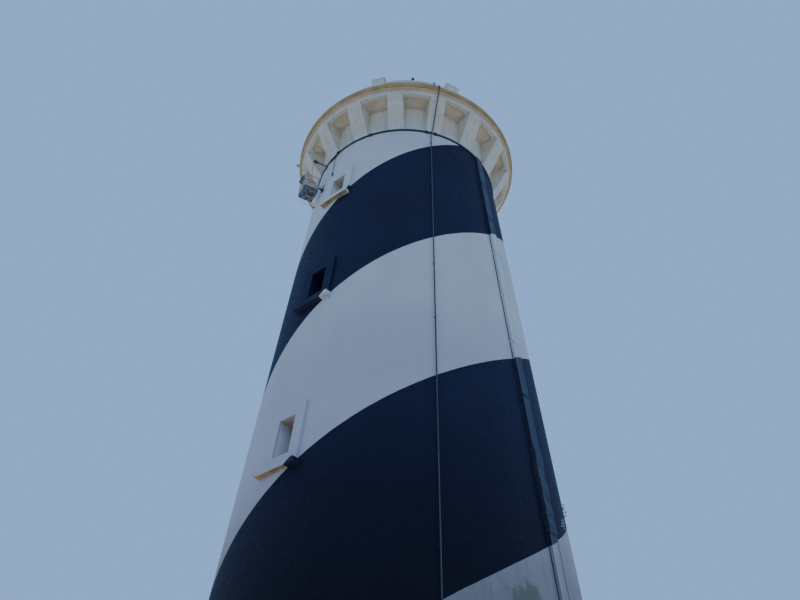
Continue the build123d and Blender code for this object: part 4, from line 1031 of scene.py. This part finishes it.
def make_cradle_winch(materials):
    """The small winch on the cradle's outer top rail: drum, plates, saddle hooks, motor and crank."""
    winch = Shape()
    turn = facing(CRADLE_BEARING)
    rail = -(NECK_RADIUS + CRADLE_REACH + CRADLE_DEPTH / 2 - CRADLE_BAR / 2)
    top = CRADLE_Z + CRADLE_HEIGHT
    axle = top + 0.10
    left, right = -0.33, -0.03

    def rod(start, end, radius, sides=8):
        winch.bar(turn @ Vector(start), turn @ Vector(end), radius, sides)

    for across in (left, (left + right) / 2 + 0.03, right):
        winch.block((across - 0.006, rail - 0.075, top - 0.002),
                    (across + 0.006, rail + 0.075, top + 0.19), turn)
        for hook in (rail - 0.030, rail + 0.015):
            winch.block((across - 0.012, hook, top - 0.060),
                        (across + 0.012, hook + 0.015, top + 0.030), turn)
    rod((left, rail, axle), (right, rail, axle), 0.052, 16)
    rod((right, rail, axle), (right + 0.10, rail, axle), 0.060, 16)
    for index in range(6):
        across = left + 0.02 + 0.024 * index
        rod((across, rail, axle), (across + 0.016, rail, axle), 0.062, 16)
    crank = left - 0.02
    handle = axle + 0.04
    rod((crank, rail, axle), (crank, rail - 0.09, handle), 0.009)
    rod((crank, rail - 0.085, handle), (crank - 0.08, rail - 0.085, handle), 0.013)
    rod((crank - 0.002, rail, axle), (left + 0.01, rail, axle), 0.014)
    winch.piece("cradle_winch", materials["davit"], bevel=0.002)


def make_cradle_mesh(materials):
    """Wire mesh in the cradle's sides between its toe boards and its middle rail."""
    mesh = Shape()
    turn = facing(CRADLE_BEARING)
    half_width = CRADLE_WIDTH / 2 - CRADLE_BAR / 2
    half_depth = CRADLE_DEPTH / 2 - CRADLE_BAR / 2
    middle = NECK_RADIUS + CRADLE_REACH
    foot = CRADLE_Z + CRADLE_BAR + CRADLE_TOE - 0.01
    head = CRADLE_Z + CRADLE_MID_RAIL + 0.01
    wire = 0.0022
    pitch = 0.07
    bays = 10
    for side in (-1, 1):
        for index in range(1, bays):
            across = -half_width + 2 * half_width * index / bays
            mesh.block((across - wire, -middle + side * half_depth - wire, foot),
                       (across + wire, -middle + side * half_depth + wire, head), turn)
            along = -half_depth + 2 * half_depth * index / bays
            mesh.block((side * half_width - wire, -middle + along - wire, foot),
                       (side * half_width + wire, -middle + along + wire, head), turn)
        level = foot + pitch
        while level < head - pitch / 2:
            mesh.block((-half_width, -middle + side * half_depth - wire, level - wire),
                       (half_width, -middle + side * half_depth + wire, level + wire), turn)
            mesh.block((side * half_width - wire, -middle - half_depth, level - wire),
                       (side * half_width + wire, -middle + half_depth, level + wire), turn)
            level += pitch
    mesh.piece("cradle_mesh", materials["cradle_frame"], smooth=False)


# Doors and lantern

def dress_ground_door(boards, iron):
    """Seven upright boards, three strap hinges with their nails, and a lever on its plate."""
    low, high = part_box("door_leaf")
    count = 7
    margin = 0.01
    pitch = (high.x - low.x - 2 * margin) / count
    groove = 0.003
    for index in range(count):
        left = low.x + margin + index * pitch
        boards.block((left + groove, low.y - 0.012, low.z + margin),
                     (left + pitch - groove, low.y + 0.004, high.z - margin))
    for level in (low.z + 0.35, (low.z + high.z) / 2 + 0.1, high.z - 0.40):
        iron.block((low.x + 0.03, low.y - 0.020, level), (low.x + 0.80, low.y - 0.010, level + 0.05))
        for index in range(5):
            nail = low.x + 0.09 + index * 0.16
            iron.bar((nail, low.y - 0.012, level + 0.025), (nail, low.y - 0.027, level + 0.025), 0.010, 6)
        knuckle = (low.x + 0.02, low.y - 0.018)
        iron.bar((*knuckle, level - 0.02), (*knuckle, level + 0.07), 0.012)
    lock = high.x - 0.12
    lever = 1.26
    iron.block((lock - 0.03, low.y - 0.020, 1.12), (lock + 0.03, low.y - 0.010, 1.34))
    iron.bar((lock, low.y - 0.012, lever), (lock, low.y - 0.065, lever), 0.010)
    iron.bar((lock + 0.008, low.y - 0.060, lever), (lock - 0.115, low.y - 0.060, lever), 0.009)


def dress_room_door(boards, iron):
    """Three upright panels, and a lever on its plate."""
    low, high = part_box("room_door")
    count = 3
    side = 0.07
    end = 0.15
    pitch = (high.x - low.x - 2 * side) / count
    for index in range(count):
        left = low.x + side + index * pitch
        boards.block((left + 0.03, high.y - 0.004, low.z + end),
                     (left + pitch - 0.03, high.y + 0.010, high.z - end))
    lever = low.z + 1.08
    iron.block((low.x + 0.06, high.y - 0.002, low.z + 0.95), (low.x + 0.11, high.y + 0.008, low.z + 1.15))
    iron.bar((low.x + 0.085, high.y, lever), (low.x + 0.085, high.y + 0.050, lever), 0.009)
    iron.bar((low.x + 0.08, high.y + 0.045, lever), (low.x + 0.20, high.y + 0.045, lever), 0.008)


def make_doors(materials):
    """Boards and ironwork on the ground door and on the room door."""
    boards = Shape()
    iron = Shape()
    dress_ground_door(boards, iron)
    dress_room_door(boards, iron)
    boards.piece("door_boards", materials["joinery"], bevel=0.003)
    iron.piece("door_iron", materials["dark_steel"], bevel=0.001)


def make_lantern_bars(materials):
    """A bar across the middle of each of the lantern's panes."""
    bars = Shape()
    low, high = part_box("lantern_glass")
    corner = 360.0 / LANTERN_SIDES
    post_middle = LANTERN_RADIUS - 0.05
    level = (low.z + high.z) / 2
    for index in range(LANTERN_SIDES):
        start, end = (polar((index + side) * corner, post_middle, level) for side in (-0.5, 0.5))
        bars.bar(start, end, 0.014, 6)
    bars.piece("lantern_bars", materials["lantern_steel"])


def make_roof_seams(materials):
    """The rolled seams on the lantern's roof, from its ventilator down to its eaves."""
    seams = Shape()
    roof = [(math.hypot(v.co.x, v.co.y), v.co.z) for v in nodes["lantern_roof"].data.vertices]
    inner = 0.20
    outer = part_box("lantern_roof")[1].x - 0.02
    steps = 8
    outline = []
    for step in range(steps + 1):
        radius = inner + (outer - inner) * step / steps
        outline.append((radius, max(z for off_axis, z in roof if abs(off_axis - radius) < 0.03)))
    for index in range(LANTERN_SIDES):
        bearing = (index + 0.5) * 360.0 / LANTERN_SIDES
        seams.chain([polar(bearing, radius, height) for radius, height in outline], 0.016)
    seams.piece("roof_seams", materials["roof_metal"])


# Cables

def hanging_cable(name, route, radius, material):
    """One smooth cable along a route, to stand for a plain tube of the solids."""
    data = bpy.data.curves.new(name, "CURVE")
    data.dimensions = "3D"
    data.bevel_depth = radius
    data.bevel_resolution = 4
    data.use_fill_caps = True
    data.materials.append(material)
    line = data.splines.new("NURBS")
    line.points.add(len(route) - 1)
    for point, place in zip(line.points, route):
        point.co = (*place, 1.0)
    line.order_u = 3
    line.use_endpoint_u = True
    line.resolution_u = 12
    cable = bpy.data.objects.new(name, data)
    bpy.context.scene.collection.objects.link(cable)
    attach(cable, "root")
    return cable


def make_cables(materials):
    """The sling with its hook under the neck band, and the slack cable under the cradle."""
    sling = hanging_cable("sling_line", SLING_ROUTE, SLING_RADIUS, materials["cable_sheath"])
    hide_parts("cable_sling")
    slack = hanging_cable("slack_line", SLACK_ROUTE, SLACK_RADIUS, materials["pale_sheath"])
    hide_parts("cable_slack")


def make_all():
    """Everything in the scene, in order."""
    make_camera()
    make_floor()
    make_light()
    materials = make_materials()
    make_cables(materials)
    dress_nodes(materials)
    for make in (make_window_bars, make_duct_trim, make_duct_straps, make_duct_wrap, make_duct_ties,
                 make_wall_coil, make_wall_wire_ends, make_band_bolts, make_band_tie_rods,
                 make_cradle_winch, make_cradle_mesh, make_doors, make_lantern_bars, make_roof_seams):
        make(materials)


make_all()
